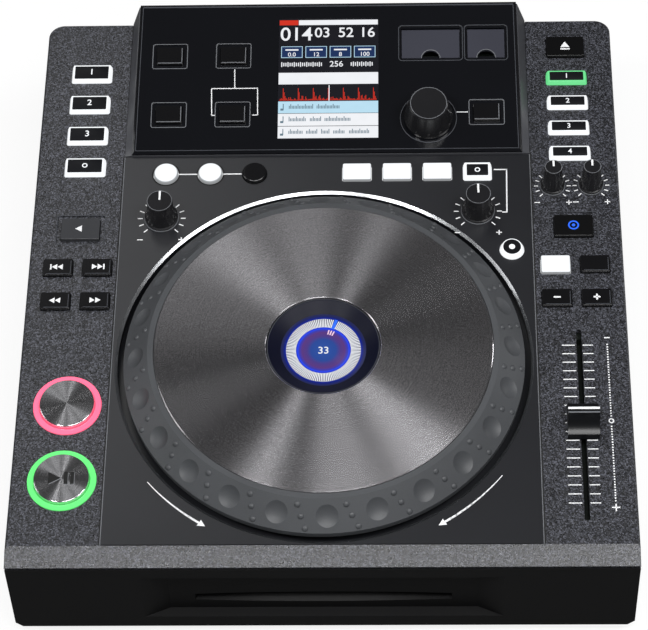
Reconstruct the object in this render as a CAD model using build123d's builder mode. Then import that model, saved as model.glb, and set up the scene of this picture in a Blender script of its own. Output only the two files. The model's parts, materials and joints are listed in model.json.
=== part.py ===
from build123d import *
from dataclasses import dataclass
from math import atan2, cos, degrees, radians, sin, sqrt, tan
import os

# Tabletop disc player: a sloping deck with a large jog wheel, a raised display block at the rear,
# control wings on both sides and a slot-in disc drive behind the front face.
# X runs to the right, Y to the rear, Z up. Millimetres. The origin is under the middle of the whole
# player, on the surface that its feet stand on.

os.makedirs("parts", exist_ok=True)

# ---- casing -------------------------------------------------------------------------------------
wing_width = 46.0             # flat top on each side of the centre deck
block_length = 92.6           # display block, front edge to rear edge, along the slope
deck_slope = 4.0              # degrees, rising to the rear
edge_chamfer = 1.0            # round the top of the casing
front_bevel_run = 10.3        # the pale bevel that leads down to the front face
front_bevel_drop = 4.2
seam_height = 52.0            # casing bottom to the joint between the two shells
front_height = seam_height + 6.5   # casing bottom to the deck's front edge
seam_groove = 0.8             # height of the shadow line at that joint
seam_groove_depth = 0.6
shell_wall = 2.6
centre_skin = 4.4             # thicker skin that carries the centre deck
rear_corner_radius = 8.5
bottom_chamfer = 3.5
foot_height = 7.0
foot_radius = 10.0
foot_peg_radius = 3.0
foot_inset_x = 27.0
foot_inset_y = 28.0
fit_gap = 0.2                 # between fixed panels
button_gap = 0.3              # round every button

# ---- centre deck and jog wheel: the wheel's radius sets the deck round it -----------------------
ring_radius = 103.4
ring_gap = 4.0                # rubber ring to the wall of its well
well_radius = ring_radius + ring_gap
well_margin = 2.6             # well to the side of the centre deck
centre_half_width = well_radius + well_margin
centre_thickness = 2.0
jog_u = well_radius + 1.6     # wheel axis, from the deck's front edge
transport_row_u = jog_u + well_radius + 12.7
centre_length = transport_row_u + 12.1
well_wall = 1.8
well_depth = 8.5
well_floor = 2.0
well_edge = 0.8
ring_lip = 3.4                # upright lip at the ring's foot
ring_foot_drop = 2.0          # the lip reaches this far below the deck
ring_rim_outer = ring_radius - 13.1
ring_rim_inner = ring_rim_outer - 3.0
ring_top = 13.3
ring_thickness = 2.5
ring_play = 0.05              # between the round faces of the wheel's parts
ring_dimples = 24
dimple_start = 91.7           # turn of the first dimple at rest, degrees
dimple_radius = 5.9
dimple_depth = 1.4
plate_radius = ring_rim_inner - 0.3
plate_top = 14.0
plate_thickness = 1.5
plate_hole_radius = 29.5
hub_disc_thickness = 2.9
hub_wall = 2.5
hub_pot_radius = 34.0
hub_web_height = 2.5
post_radius = 15.6
post_bore = 12.5
post_flange_radius = 24.0
post_flange_thickness = 1.5
hub_bore_gap = 0.1
bezel_radius = 29.0
bezel_top = 13.2
bezel_base = 6.5
display_radius = 21.3
display_level = 9.0

# ---- display block ------------------------------------------------------------------------------
housing_start = centre_length + fit_gap
panel_front_rise = 3.0
panel_rear_rise = 15.5
panel_thickness = 2.4
panel_half_front = centre_half_width - 4.2
panel_half_rear = centre_half_width - 5.4
panel_span = centre_half_width / 110.0   # spreads the panel's contents with its width
panel_rim = 1.2
housing_ledge = 0.6
housing_skin = 2.2
housing_side = 7.8
screen_width = 55.3
screen_height = 77.1
screen_x = 0.6
screen_v = 46.6
screen_frame = 2.4
screen_depth = 5.6
screen_recess = 0.3
frame_depth = 0.8             # sunken frames round the panel's buttons
knob_dish_radius = 15.0
knob_dish_depth = 0.9
door_thickness = 1.4
door_sink = 0.1
door_width = 18.8             # front edge to hinge side
door_ledge = 1.5
door_frame = 1.6
door_frame_depth = 0.5
door_notch_radius = 4.9
hinge_drop = 1.35
hinge_back = 1.5
barrel_radius = 1.0
hinge_pin_radius = 0.55
hinge_pin_length = 1.0
hinge_gap = 0.07
port_top_drop = 8.4            # panel surface to the tops of the sockets under the doors

# ---- buttons, knobs and what carries them -------------------------------------------------------
left_x = -(centre_half_width + wing_width / 2 - 2.0)   # middle of each wing's controls
right_x = centre_half_width + wing_width / 2 - 1.4
flange_margin = 1.2
flange_thickness = 1.2
board_drop = 12.4             # panel surface to the control boards
board_thickness = 1.6
switch_size = 6.2
switch_height = 3.5
stem_radius = 1.6
stem_entry = 0.6              # the stem reaches into its switch
stem_bore_gap = 0.1
press_travel = 0.8
pair_spread = 0.45 * wing_width   # two keys side by side on a wing
spindle_radius = 3.0
spindle_gap = 0.06
spindle_hole_radius = 3.6
pot_radius = 6.0
pot_height = 8.0
pot_bore_depth = 5.6
post_pin_radius = 2.2
knob_lift = 0.5

# ---- round collars of light that stay still round the two large buttons -------------------------
light_outer_radius = wing_width / 2 - 5.6
light_inner_radius = light_outer_radius - 2.9
light_rise = 0.5
light_flange = 1.2
light_flange_margin = 0.8

# ---- pitch fader --------------------------------------------------------------------------------
fader_x = right_x
fader_u = 69.85
fader_slot_length = 113.5
fader_slot_width = 2.8
fader_travel = 100.0
fader_cap_width = 16.1
fader_cap_length = 20.0
fader_cap_height = 13.0
fader_cap_end_height = 4.0
fader_ridge = 4.0
fader_scoop = 2.0
fader_lever_width = 1.8
fader_lever_length = 6.0
fader_body_width = 10.0
fader_body_height = 8.0
fader_body_margin = 5.0

# ---- front recess, disc slot and drive ----------------------------------------------------------
recess_half_width = 90.5
recess_back_half_width = 77.7
recess_top = 44.6             # above the casing bottom
recess_bottom = 8.9
recess_depth = 5.5
slot_height = 5.0
slot_width = 126.0
slot_level = 18.9             # above the casing bottom
lip_width = 129.5
lip_middle_height = 8.8
lip_end_height = 5.2
lip_depth = 5.0
front_block_half_width = 96.0
front_block_wall = 6.6
drive_width = 146.0
drive_length = 172.0
drive_gap = 0.3
drive_sheet = 1.2
drive_bottom = 5.6            # above the casing bottom
drive_height = 27.4
drive_plate_drop = 3.4        # loading plate below the slot's middle
drive_plate_thickness = 2.0
disc_radius = 60.0
disc_margin = 4.0
roller_radius = 3.0

# ---- rear sockets -------------------------------------------------------------------------------
socket_reach = 8.5
phono_radius = 4.15
phono_hole_radius = 1.6
phono_flange_radius = 6.0
phono_x = (24.0, 44.0, 68.0)
jack_x = (-8.0, -26.0)
jack_radius = 3.0
jack_bore_radius = 1.78
jack_bore_depth = 14.0
inlet_x = centre_half_width + 12.0
inlet_width = 24.2
inlet_height = 16.4
inlet_depth = 18.0
rocker_x = inlet_x - 26.0
rocker_width = 11.0
rocker_half_height = 8.6
rocker_tilt = 7.0
rocker_well_width = 11.4
rocker_well_height = 19.4
rocker_well_depth = 13.0
rocker_inset = 3.5             # pivot line inside the rear wall
rocker_pin_radius = 1.2
host_port_x = -52.0
host_width = 12.0
host_height = 11.0
socket_wall = 1.5
socket_flange = 1.0
socket_margin = socket_wall + fit_gap
socket_level = 27.0           # above the casing bottom

# ---- worked out from the sizes above ------------------------------------------------------------
slope = radians(deck_slope)
body_half_width = centre_half_width + wing_width + edge_chamfer
deck_length = housing_start + block_length
casing_bottom = foot_height
total_depth = front_bevel_run + deck_length * cos(slope) + edge_chamfer + socket_reach
front_y = -total_depth / 2
deck_front_y = front_y + front_bevel_run
deck_front_z = casing_bottom + front_height
rear_y = total_depth / 2 - socket_reach
bevel_z = deck_front_z - front_bevel_drop
seam_z = casing_bottom + seam_height
inner_half_width = body_half_width - shell_wall
slot_z = casing_bottom + slot_level
recess_back_y = front_y + recess_depth
block_back_y = recess_back_y + front_block_wall
deck = Plane(origin=(0, deck_front_y, deck_front_z), x_dir=(1, 0, 0), z_dir=(0, -sin(slope), cos(slope)))
panel_tilt = atan2(panel_rear_rise - panel_front_rise, deck_length - housing_start)
panel_slope = slope + panel_tilt
panel_origin = deck.from_local_coords(Vector(0, housing_start, panel_front_rise))
panel = Plane(origin=panel_origin, x_dir=(1, 0, 0), z_dir=(0, -sin(panel_slope), cos(panel_slope)))
panel_length = (rear_y - panel_origin.Y) / cos(panel_slope)
stem_reach = board_drop - switch_height + stem_entry


def deck_z(y):
    """Height of the deck's surface at a place y."""
    return deck_front_z + (y - deck_front_y) * tan(slope)


def panel_z(y):
    """Height of the display panel's surface at a place y."""
    return panel_origin.Z + (y - panel_origin.Y) * tan(panel_slope)


def upright(plane, x, y):
    """The plane across the deck or panel at a point of it: its x runs right and its y along the normal."""
    return Plane(origin=plane.from_local_coords(Vector(x, y, 0)), x_dir=(1, 0, 0), z_dir=-plane.y_dir)


def normal_axis(plane, x, y):
    """The axis that stands on the deck or panel at a point of it."""
    return Axis(plane.from_local_coords(Vector(x, y, 0)), plane.z_dir)


def save(piece, label):
    """Label a finished piece and write its STEP file."""
    piece.part.label = label
    export_step(piece.part, f"parts/{label}.step")


# ---- where the controls sit ---------------------------------------------------------------------
@dataclass(frozen=True)
class Cap:
    """A button cap's outline, its height above the panel, and the frame that is sunk round it."""

    length: float
    width: float              # nought for a round cap
    rise: float
    corner: float = 0.8
    taper: float = 0.0
    edge: float = 0.35
    inset_length: float = 0.0
    inset_width: float = 0.0
    frame_length: float = 0.0
    frame_width: float = 0.0


@dataclass(frozen=True)
class Button:
    """One push button: its node name, its place on its plane and its cap."""

    name: str
    x: float
    y: float
    cap: Cap


pad_cap = Cap(22.0, 11.6, 2.6, corner=1.0, taper=20.0, inset_length=18.6, inset_width=8.2)
source_cap = Cap(22.0, 9.0, 2.2, corner=1.0, taper=20.0, inset_length=18.6, inset_width=6.0)
hold_cap = Cap(15.0, 11.0, 2.2, corner=1.0, taper=16.0, inset_length=11.7, inset_width=7.6)
key_cap = Cap(pair_spread - 5.1, 10.4, 1.8, corner=0.9)
lit_key_cap = Cap(15.4, 11.0, 1.6, corner=1.0, edge=0.5)
framed_cap = Cap(20.6, 13.6, 1.2, corner=0.9, frame_length=25.4, frame_width=18.6)
panel_cap = Cap(14.4, 10.6, 0.9, corner=0.6, frame_length=19.0, frame_width=15.6)
round_cap = Cap(13.2, 0.0, 2.0, edge=1.2)
slip_cap = Cap(12.6, 0.0, 2.6, edge=0.4, taper=22.0, inset_length=9.2)
play_cap = Cap(2 * (light_inner_radius - 0.5), 0.0, 2.8, edge=0.5)

hot_cue_u = deck_length - 35.4
hot_cue_pitch = 21.6
source_u = deck_length - 40.8
source_pitch = 17.4
framed_row_u = deck_length - 141.4
track_row_u = deck_length - 166.6
search_row_u = track_row_u - 21.4
cue_u = 81.8
play_u = 37.4
eject_u = deck_length - 18.7
loop_x = -(centre_half_width - 23.2)
loop_pitch = 23.95
slip_x = centre_half_width - 11.4
slip_u = jog_u + sqrt((well_radius + 12.83) ** 2 - slip_x**2)
effect_x = centre_half_width - 93.6
effect_pitch = 21.65

left_buttons = [
    Button("hot_cue_1_button", left_x, hot_cue_u, pad_cap),
    Button("hot_cue_2_button", left_x, hot_cue_u - hot_cue_pitch, pad_cap),
    Button("hot_cue_3_button", left_x, hot_cue_u - 2 * hot_cue_pitch, pad_cap),
    Button("memory_button", left_x, hot_cue_u - 3 * hot_cue_pitch, pad_cap),
    Button("reverse_button", left_x, framed_row_u, framed_cap),
    Button("track_back_button", left_x - pair_spread / 2, track_row_u, key_cap),
    Button("track_next_button", left_x + pair_spread / 2, track_row_u, key_cap),
    Button("search_back_button", left_x - pair_spread / 2, search_row_u, key_cap),
    Button("search_forward_button", left_x + pair_spread / 2, search_row_u, key_cap),
    Button("cue_button", left_x, cue_u, play_cap),
    Button("play_pause_button", left_x, play_u, play_cap),
]
right_buttons = [
    Button("eject_button", right_x, eject_u, framed_cap),
    Button("source_disc_button", right_x, source_u, source_cap),
    Button("source_usb_button", right_x, source_u - source_pitch, source_cap),
    Button("source_card_button", right_x, source_u - 2 * source_pitch, source_cap),
    Button("source_midi_button", right_x, source_u - 3 * source_pitch, source_cap),
    Button("jog_mode_button", right_x, framed_row_u, framed_cap),
    Button("master_tempo_button", right_x - pair_spread / 2, track_row_u, lit_key_cap),
    Button("pitch_range_button", right_x + pair_spread / 2, track_row_u, key_cap),
    Button("pitch_minus_button", right_x - pair_spread / 2, search_row_u, key_cap),
    Button("pitch_plus_button", right_x + pair_spread / 2, search_row_u, key_cap),
]
centre_buttons = [
    Button("loop_in_button", loop_x, transport_row_u, round_cap),
    Button("loop_out_button", loop_x + loop_pitch, transport_row_u, round_cap),
    Button("reloop_button", loop_x + 2 * loop_pitch, transport_row_u, round_cap),
    Button("filter_effect_button", effect_x, transport_row_u, lit_key_cap),
    Button("flanger_effect_button", effect_x + effect_pitch, transport_row_u, lit_key_cap),
    Button("echo_effect_button", effect_x + 2 * effect_pitch, transport_row_u, lit_key_cap),
    Button("effect_hold_button", effect_x + 3 * effect_pitch, transport_row_u, hold_cap),
    Button("slip_button", slip_x, slip_u, slip_cap),
]
panel_buttons = [
    Button("text_mode_button", -86.9 * panel_span, 61.3, panel_cap),
    Button("tempo_count_button", -51.8 * panel_span, 61.3, panel_cap),
    Button("auto_cue_button", -86.5 * panel_span, 23.9, panel_cap),
    Button("tempo_lock_button", -51.6 * panel_span, 23.9, panel_cap),
    Button("back_button", 87.0 * panel_span, 24.1, panel_cap),
]


@dataclass(frozen=True)
class Knob:
    """One turning knob: its node name, its place on the deck, and its size."""

    name: str
    x: float
    y: float
    base_radius: float
    top_radius: float
    height: float


centre_knobs = [
    Knob("jog_weight_knob", 22.1 - centre_half_width, transport_row_u - 29.3, 8.9, 6.7, 16.0),
    Knob("effect_depth_knob", centre_half_width - 28.9, transport_row_u - 26.1, 8.7, 6.6, 16.0),
]
wing_knobs = [
    Knob("start_time_knob", right_x - 10.2, source_u - 73.8, 6.5, 4.6, 17.0),
    Knob("stop_time_knob", right_x + 10.4, source_u - 73.6, 6.5, 4.6, 17.0),
]
select_x = 55.3 * panel_span
select_v = 20.6
select_top_radius = 10.5
select_base_radius = 13.2
select_height = 16.0
select_spindle_top = 10.0
knob_flutes = 8
flute_share = 0.32             # flute radius for each millimetre of base radius
flute_depth = 0.9

light_buttons = [left_buttons[-2], left_buttons[-1]]


def cap_outline(cap, growth=0.0):
    """Draw a cap's outline in the open sketch, grown on every side."""
    if cap.width:
        RectangleRounded(cap.length + 2 * growth, cap.width + 2 * growth, cap.corner + growth)
    else:
        Circle(cap.length / 2 + growth)


def build_button(button, plane, skin):
    """Build one push button: the cap, the flange that holds it under the skin, and the switch stem."""
    cap = button.cap
    flange_top = skin
    if cap is play_cap:
        flange_top = skin + light_flange
    with BuildPart() as body:
        with BuildSketch(plane.offset(-flange_top - flange_thickness)):
            with Locations((button.x, button.y)):
                cap_outline(cap, flange_margin)
        extrude(amount=flange_thickness)
        with BuildSketch(plane.offset(-flange_top)):
            with Locations((button.x, button.y)):
                cap_outline(cap)
        extrude(amount=flange_top)
        with BuildSketch(plane):
            with Locations((button.x, button.y)):
                cap_outline(cap)
        extrude(amount=cap.rise, taper=cap.taper)
        top_face = body.faces().sort_by(normal_axis(plane, button.x, button.y))[-1]
        if cap.edge:
            fillet(top_face.edges(), cap.edge)
        if cap.inset_length:
            with BuildSketch(plane.offset(cap.rise)):
                with Locations((button.x, button.y)):
                    if cap.width:
                        RectangleRounded(cap.inset_length, cap.inset_width, cap.corner / 2)
                    else:
                        Circle(cap.inset_length / 2)
            extrude(amount=-0.4, mode=Mode.SUBTRACT)
        with BuildSketch(plane.offset(-stem_reach)):
            with Locations((button.x, button.y)):
                Circle(stem_radius)
        extrude(amount=stem_reach - flange_top - flange_thickness)
    save(body, button.name)
    return body


def cut_button_openings(buttons, plane, skin):
    """Cut the holes and sunken frames of a set of buttons out of the part that is being built."""
    framed = [button for button in buttons if button.cap.frame_length]
    if framed:
        with BuildSketch(plane) as frames:
            for button in framed:
                cap = button.cap
                with Locations((button.x, button.y)):
                    RectangleRounded(cap.frame_length, cap.frame_width, cap.corner + 0.6)
        extrude(frames.sketch, amount=-frame_depth, mode=Mode.SUBTRACT)
    with BuildSketch(plane.offset(-skin)) as holes:
        for button in buttons:
            with Locations((button.x, button.y)):
                if button.cap is play_cap:
                    Circle(light_outer_radius + fit_gap)
                else:
                    cap_outline(button.cap, button_gap)
    extrude(holes.sketch, amount=skin + 1, mode=Mode.SUBTRACT)


# ---- casing shells ------------------------------------------------------------------------------
deck_rear_y = rear_y - edge_chamfer
boss_radius = 4.2
boss_x = inner_half_width - boss_radius - button_gap
boss_places = [
    (-boss_x, deck_front_y + 6.0),
    (boss_x, deck_front_y + 6.0),
    (-boss_x, deck_front_y + 112.0),
    (boss_x, deck_front_y + 112.0),
    (-boss_x, rear_y - 9.0),
    (boss_x, rear_y - 9.0),
]
screw_radius = 1.5
screw_head_radius = 3.0
screw_head_height = 2.2
screw_pocket_depth = 6.0
boss_joint_z = casing_bottom + 38.0
screw_grip = 10.0
wing_inner_x = centre_half_width + 1.2
wing_board_x = centre_half_width + wing_width / 2 - 3.5   # middle of each wing's board
wing_board_width = wing_width - 15.0
wing_board_u = (12.0, deck_length - 4.0)
wing_pin_u = (wing_board_u[0] + 5, search_row_u - 19.0, wing_board_u[1] - 3.5)
row_window_u = (slip_u - 10.8, centre_length - 2.2)  # opening under the rear row
block_window_u = (housing_start + 4.6, deck_length - 4.5)  # opening under the display block
board_front_y = block_back_y + drive_gap + drive_length + 12.1
main_board = (-100.0, 62.0, board_front_y, rear_y - 22.0)
power_board = (inner_half_width - 76.4, inner_half_width - 14.4, board_front_y + 10.0, rear_y - 32.0)

with BuildPart() as top_case:
    with BuildSketch(Plane.YZ):
        with BuildLine():
            Polyline(
                (front_y, seam_z),
                (front_y, bevel_z),
                (deck_front_y, deck_front_z),
                (rear_y, deck_z(rear_y)),
                (rear_y, seam_z),
                close=True,
            )
        make_face()
    extrude(amount=body_half_width, both=True)
    fillet(top_case.edges().filter_by(Axis.Z).group_by(Axis.Y)[-1], rear_corner_radius)
    deck_face = top_case.faces().filter_by(lambda face: face.normal_at().dot(deck.z_dir) > 0.9999)[0]
    chamfer(deck_face.edges().sort_by(Axis.Y)[1:], edge_chamfer)
    # hollow under the thick skin of the centre, then relieve it under both wings
    with BuildSketch(Plane.YZ):
        with BuildLine():
            Polyline(
                (front_y + shell_wall, seam_z - 1),
                (deck_front_y, deck_front_z - centre_skin / cos(slope)),
                (rear_y - shell_wall, deck_z(rear_y - shell_wall) - centre_skin / cos(slope)),
                (rear_y - shell_wall, seam_z - 1),
                close=True,
            )
        make_face()
    extrude(amount=inner_half_width, both=True, mode=Mode.SUBTRACT)
    # shadow line at the joint between the shells
    with BuildSketch(Plane.XY.offset(seam_z)) as seam:
        with Locations((0, (front_y + rear_y) / 2)):
            Rectangle(2 * body_half_width + 2, rear_y - front_y + 2)
        with BuildSketch(Plane.XY.offset(seam_z), mode=Mode.SUBTRACT):
            inside = (2 * (body_half_width - seam_groove_depth), rear_y - front_y - 2 * seam_groove_depth)
            with Locations((0, (front_y + rear_y) / 2)):
                Rectangle(*inside)
            fillet(vertices().group_by(Axis.Y)[-1], rear_corner_radius - seam_groove_depth)
    extrude(seam.sketch, amount=seam_groove, mode=Mode.SUBTRACT)
    with BuildSketch(deck.offset(-centre_skin)):
        with Locations(
            (-(wing_inner_x + inner_half_width) / 2, deck_length / 2),
            ((wing_inner_x + inner_half_width) / 2, deck_length / 2),
        ):
            Rectangle(inner_half_width - wing_inner_x, deck_length - 4 * shell_wall)
    extrude(amount=centre_skin - shell_wall, mode=Mode.SUBTRACT)
    # pocket for the centre deck and the display block
    with BuildSketch(deck):
        with Locations((0, deck_length)):
            Rectangle(2 * centre_half_width, 2 * deck_length)
    extrude(amount=-centre_thickness, mode=Mode.SUBTRACT)
    # openings under the centre deck: the well, the rear row of controls and the display block
    with BuildSketch(deck.offset(-centre_thickness)):
        with Locations((0, jog_u)):
            Circle(well_radius + well_wall + button_gap)
        with Locations((0, (row_window_u[0] + row_window_u[1]) / 2)):
            Rectangle(2 * (centre_half_width - shell_wall), row_window_u[1] - row_window_u[0])
        with Locations((0, (block_window_u[0] + block_window_u[1]) / 2)):
            Rectangle(2 * (centre_half_width - 10), block_window_u[1] - block_window_u[0])
    extrude(amount=-centre_skin, mode=Mode.SUBTRACT)
    # bosses and board pins hang from the skin
    with BuildSketch(Plane.XY.offset(boss_joint_z)):
        with Locations(*boss_places):
            Circle(boss_radius)
    extrude(until=Until.NEXT)
    with BuildSketch(deck.offset(-board_drop)):
        for pin_u in wing_pin_u:
            with Locations((-wing_board_x, pin_u), (wing_board_x, pin_u)):
                with GridLocations(wing_board_width - 7, 0, 2, 1):
                    Circle(post_pin_radius)
    extrude(amount=board_drop - shell_wall)
    with BuildSketch(Plane.XY.offset(boss_joint_z)):
        with Locations(*boss_places):
            Circle(screw_radius)
    extrude(amount=screw_grip + 1, mode=Mode.SUBTRACT)
    cut_button_openings(left_buttons + right_buttons, deck, shell_wall)
    with BuildSketch(deck.offset(-shell_wall)):
        for knob in wing_knobs:
            with Locations((knob.x, knob.y)):
                Circle(spindle_hole_radius)
        with Locations((fader_x, fader_u)):
            SlotOverall(fader_slot_length, fader_slot_width, rotation=90)
    extrude(amount=shell_wall + 1, mode=Mode.SUBTRACT)
save(top_case, "top_case")

with BuildPart() as bottom_case:
    with BuildSketch(Plane.XY.offset(casing_bottom)):
        with Locations((0, (front_y + rear_y) / 2)):
            Rectangle(2 * body_half_width, rear_y - front_y)
        fillet(vertices().group_by(Axis.Y)[-1], rear_corner_radius)
    extrude(amount=seam_height)
    # the front face runs down to the bottom; the sides and the rear end in a chamfer
    side_and_rear = bottom_case.faces().sort_by(Axis.Z)[0].edges().sort_by(Axis.Y)[1:]
    chamfer(side_and_rear, bottom_chamfer)
    with BuildSketch(Plane.XY.offset(casing_bottom + shell_wall)):
        with Locations((0, (front_y + rear_y) / 2)):
            Rectangle(2 * inner_half_width, rear_y - front_y - 2 * shell_wall)
        fillet(vertices().group_by(Axis.Y)[-1], rear_corner_radius - shell_wall)
    extrude(amount=seam_height, mode=Mode.SUBTRACT)
    # solid block behind the recess of the disc slot
    with BuildSketch(Plane.XY.offset(casing_bottom + shell_wall / 2)):
        with Locations((0, (front_y + shell_wall / 2 + block_back_y) / 2)):
            Rectangle(2 * front_block_half_width, block_back_y - front_y - shell_wall / 2)
    extrude(amount=recess_top)
    # screw bosses
    with BuildSketch(Plane.XY.offset(casing_bottom + shell_wall / 2)):
        with Locations(*boss_places):
            Circle(boss_radius)
    extrude(amount=boss_joint_z - casing_bottom - shell_wall / 2)
    # posts under the drive and the circuit boards
    with BuildSketch(Plane.XY.offset(casing_bottom + shell_wall)):
        with Locations((0, block_back_y + drive_gap + drive_length / 2)):
            with GridLocations(drive_width - 16, drive_length - 20, 2, 2):
                Circle(boss_radius)
        for left, right, front, rear in (main_board, power_board):
            with Locations(((left + right) / 2, (front + rear) / 2)):
                with GridLocations(right - left - 10, rear - front - 10, 2, 2):
                    Circle(boss_radius)
    extrude(amount=drive_bottom - shell_wall)
    # recess with tapered ends, then the curved lips and the slot
    with BuildSketch(Plane.XZ.offset(-front_y)):
        with Locations((0, casing_bottom + (recess_top + recess_bottom) / 2)):
            Rectangle(2 * recess_half_width, recess_top - recess_bottom)
    with BuildSketch(Plane.XZ.offset(-recess_back_y)):
        with Locations((0, casing_bottom + (recess_top + recess_bottom) / 2)):
            Rectangle(2 * recess_back_half_width, recess_top - recess_bottom)
    loft(ruled=True, mode=Mode.SUBTRACT)
    with BuildSketch(Plane.XZ.offset(-recess_back_y)):
        with BuildLine():
            upper = ThreePointArc(
                (-lip_width / 2, slot_z + lip_end_height / 2),
                (0, slot_z + lip_middle_height / 2),
                (lip_width / 2, slot_z + lip_end_height / 2),
            )
            lower = ThreePointArc(
                (lip_width / 2, slot_z - lip_end_height / 2),
                (0, slot_z - lip_middle_height / 2),
                (-lip_width / 2, slot_z - lip_end_height / 2),
            )
            Line(upper @ 1, lower @ 0)
            Line(lower @ 1, upper @ 0)
        make_face()
    with BuildSketch(Plane.XZ.offset(-recess_back_y - lip_depth)):
        with BuildLine():
            inner_upper = ThreePointArc(
                (-slot_width / 2, slot_z + slot_height / 2),
                (0, slot_z + slot_height / 2 + 0.05),
                (slot_width / 2, slot_z + slot_height / 2),
            )
            inner_lower = ThreePointArc(
                (slot_width / 2, slot_z - slot_height / 2),
                (0, slot_z - slot_height / 2 - 0.05),
                (-slot_width / 2, slot_z - slot_height / 2),
            )
            Line(inner_upper @ 1, inner_lower @ 0)
            Line(inner_lower @ 1, inner_upper @ 0)
        make_face()
    loft(ruled=True, mode=Mode.SUBTRACT)
    with BuildSketch(Plane.XZ.offset(-recess_back_y)):
        with Locations((0, slot_z)):
            Rectangle(slot_width, slot_height)
    extrude(amount=-front_block_wall - 1, mode=Mode.SUBTRACT)
    # screw pockets and clearance holes
    with BuildSketch(Plane.XY.offset(casing_bottom)):
        with Locations(*boss_places):
            Circle(screw_head_radius + fit_gap)
    extrude(amount=screw_pocket_depth, mode=Mode.SUBTRACT)
    with BuildSketch(Plane.XY.offset(casing_bottom)):
        with Locations(*boss_places):
            Circle(screw_radius + fit_gap)
    extrude(amount=boss_joint_z, mode=Mode.SUBTRACT)
    # rear wall: holes for the sockets and the power switch
    with BuildSketch(Plane.XZ.offset(-rear_y)):
        with Locations(*[(x, casing_bottom + socket_level) for x in phono_x]):
            Circle(phono_radius + fit_gap)
        with Locations(*[(x, casing_bottom + socket_level) for x in jack_x]):
            Circle(jack_radius + fit_gap)
        with Locations((inlet_x, casing_bottom + socket_level)):
            Rectangle(inlet_width + 2 * socket_margin, inlet_height + 2 * socket_margin)
        with Locations((rocker_x, casing_bottom + socket_level)):
            Rectangle(rocker_well_width + 2 * socket_margin, rocker_well_height + 2 * socket_margin)
        with Locations((host_port_x, casing_bottom + socket_level)):
            Rectangle(host_width + 2 * fit_gap, host_height + 2 * fit_gap)
    extrude(amount=shell_wall + 1, mode=Mode.SUBTRACT)
    # sockets for the pegs of the feet
    with BuildSketch(Plane.XY.offset(casing_bottom)):
        with Locations((0, (front_y + rear_y) / 2)):
            with GridLocations(
                2 * (body_half_width - foot_inset_x), rear_y - front_y - 2 * foot_inset_y, 2, 2
            ):
                Circle(foot_peg_radius + stem_bore_gap)
    extrude(amount=shell_wall + 1, mode=Mode.SUBTRACT)
save(bottom_case, "bottom_case")

# ---- centre deck with the well of the jog wheel -------------------------------------------------
centre_board_pins = [
    (10.0 - centre_half_width, transport_row_u - 13.1),
    (-13.0, transport_row_u - 6.6),
    (centre_half_width - 10.0, transport_row_u - 13.1),
]
jog_plane = Plane(origin=deck.from_local_coords(Vector(0, jog_u, 0)), x_dir=(1, 0, 0), z_dir=deck.z_dir)
jog_axis = Axis(jog_plane.origin, jog_plane.z_dir)
jog_section = upright(deck, 0, jog_u)

with BuildPart() as centre_deck:
    with BuildSketch(deck.offset(-centre_thickness)):
        with Locations((0, (fit_gap + centre_length) / 2)):
            Rectangle(2 * (centre_half_width - fit_gap), centre_length - fit_gap)
    extrude(amount=centre_thickness)
    chamfer(centre_deck.faces().sort_by(jog_axis)[-1].edges(), 0.4)
    with BuildSketch(jog_plane.offset(-well_depth - well_floor)):
        Circle(well_radius + well_wall)
    extrude(amount=well_depth + well_floor - centre_thickness)
    with BuildSketch(jog_plane.offset(-well_depth)):
        Circle(well_radius)
    extrude(amount=well_depth + 1, mode=Mode.SUBTRACT)
    rim = centre_deck.edges().filter_by(GeomType.CIRCLE)
    rim = rim.filter_by(lambda edge: abs(edge.radius - well_radius) < 0.01).sort_by(jog_axis)[-1]
    chamfer(rim, well_edge)
    with BuildSketch(jog_plane.offset(-well_depth - well_floor)):
        Circle(post_bore)
    extrude(amount=well_floor + 1, mode=Mode.SUBTRACT)
    with BuildSketch(deck.offset(-board_drop)):
        with Locations(*centre_board_pins):
            Circle(post_pin_radius)
    extrude(amount=board_drop - centre_thickness / 2)
    cut_button_openings(centre_buttons, deck, centre_thickness)
    with BuildSketch(deck.offset(-centre_thickness)):
        for knob in centre_knobs:
            with Locations((knob.x, knob.y)):
                Circle(spindle_hole_radius)
    extrude(amount=centre_thickness + 1, mode=Mode.SUBTRACT)
save(centre_deck, "centre_deck")

# ---- jog wheel: hub, touch plate, rubber ring and the fixed display in the middle ---------------
plate_seat = plate_top - plate_thickness
hub_disc_base = plate_seat - hub_disc_thickness
ring_seat = ring_top - 1.8
hub_radius = ring_rim_outer - 0.4
hub_foot = -well_depth + post_flange_thickness + fit_gap
hub_tube_radius = post_radius + hub_bore_gap + 3.8
lip_top = ring_lip - ring_foot_drop

with BuildPart() as jog_hub:
    with BuildSketch(jog_section):
        with BuildLine():
            Polyline(
                (post_radius + hub_bore_gap, hub_foot),
                (hub_tube_radius, hub_foot),
                (hub_tube_radius, hub_web_height),
                (hub_pot_radius, hub_web_height),
                (hub_pot_radius, hub_disc_base),
                (hub_radius, hub_disc_base),
                (hub_radius, ring_seat),
                (ring_rim_inner - ring_play, ring_seat),
                (ring_rim_inner - ring_play, plate_seat),
                (hub_pot_radius - hub_wall, plate_seat),
                (hub_pot_radius - hub_wall, hub_web_height + hub_wall),
                (post_radius + hub_bore_gap, hub_web_height + hub_wall),
                close=True,
            )
        make_face()
    revolve(axis=jog_axis)
save(jog_hub, "jog_hub")

with BuildPart() as jog_plate:
    with BuildSketch(jog_plane.offset(plate_seat)):
        Circle(plate_radius)
        Circle(plate_hole_radius, mode=Mode.SUBTRACT)
    extrude(amount=plate_thickness)
    chamfer(jog_plate.faces().sort_by(jog_axis)[-1].edges(), 0.4)
save(jog_plate, "jog_plate")

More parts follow.
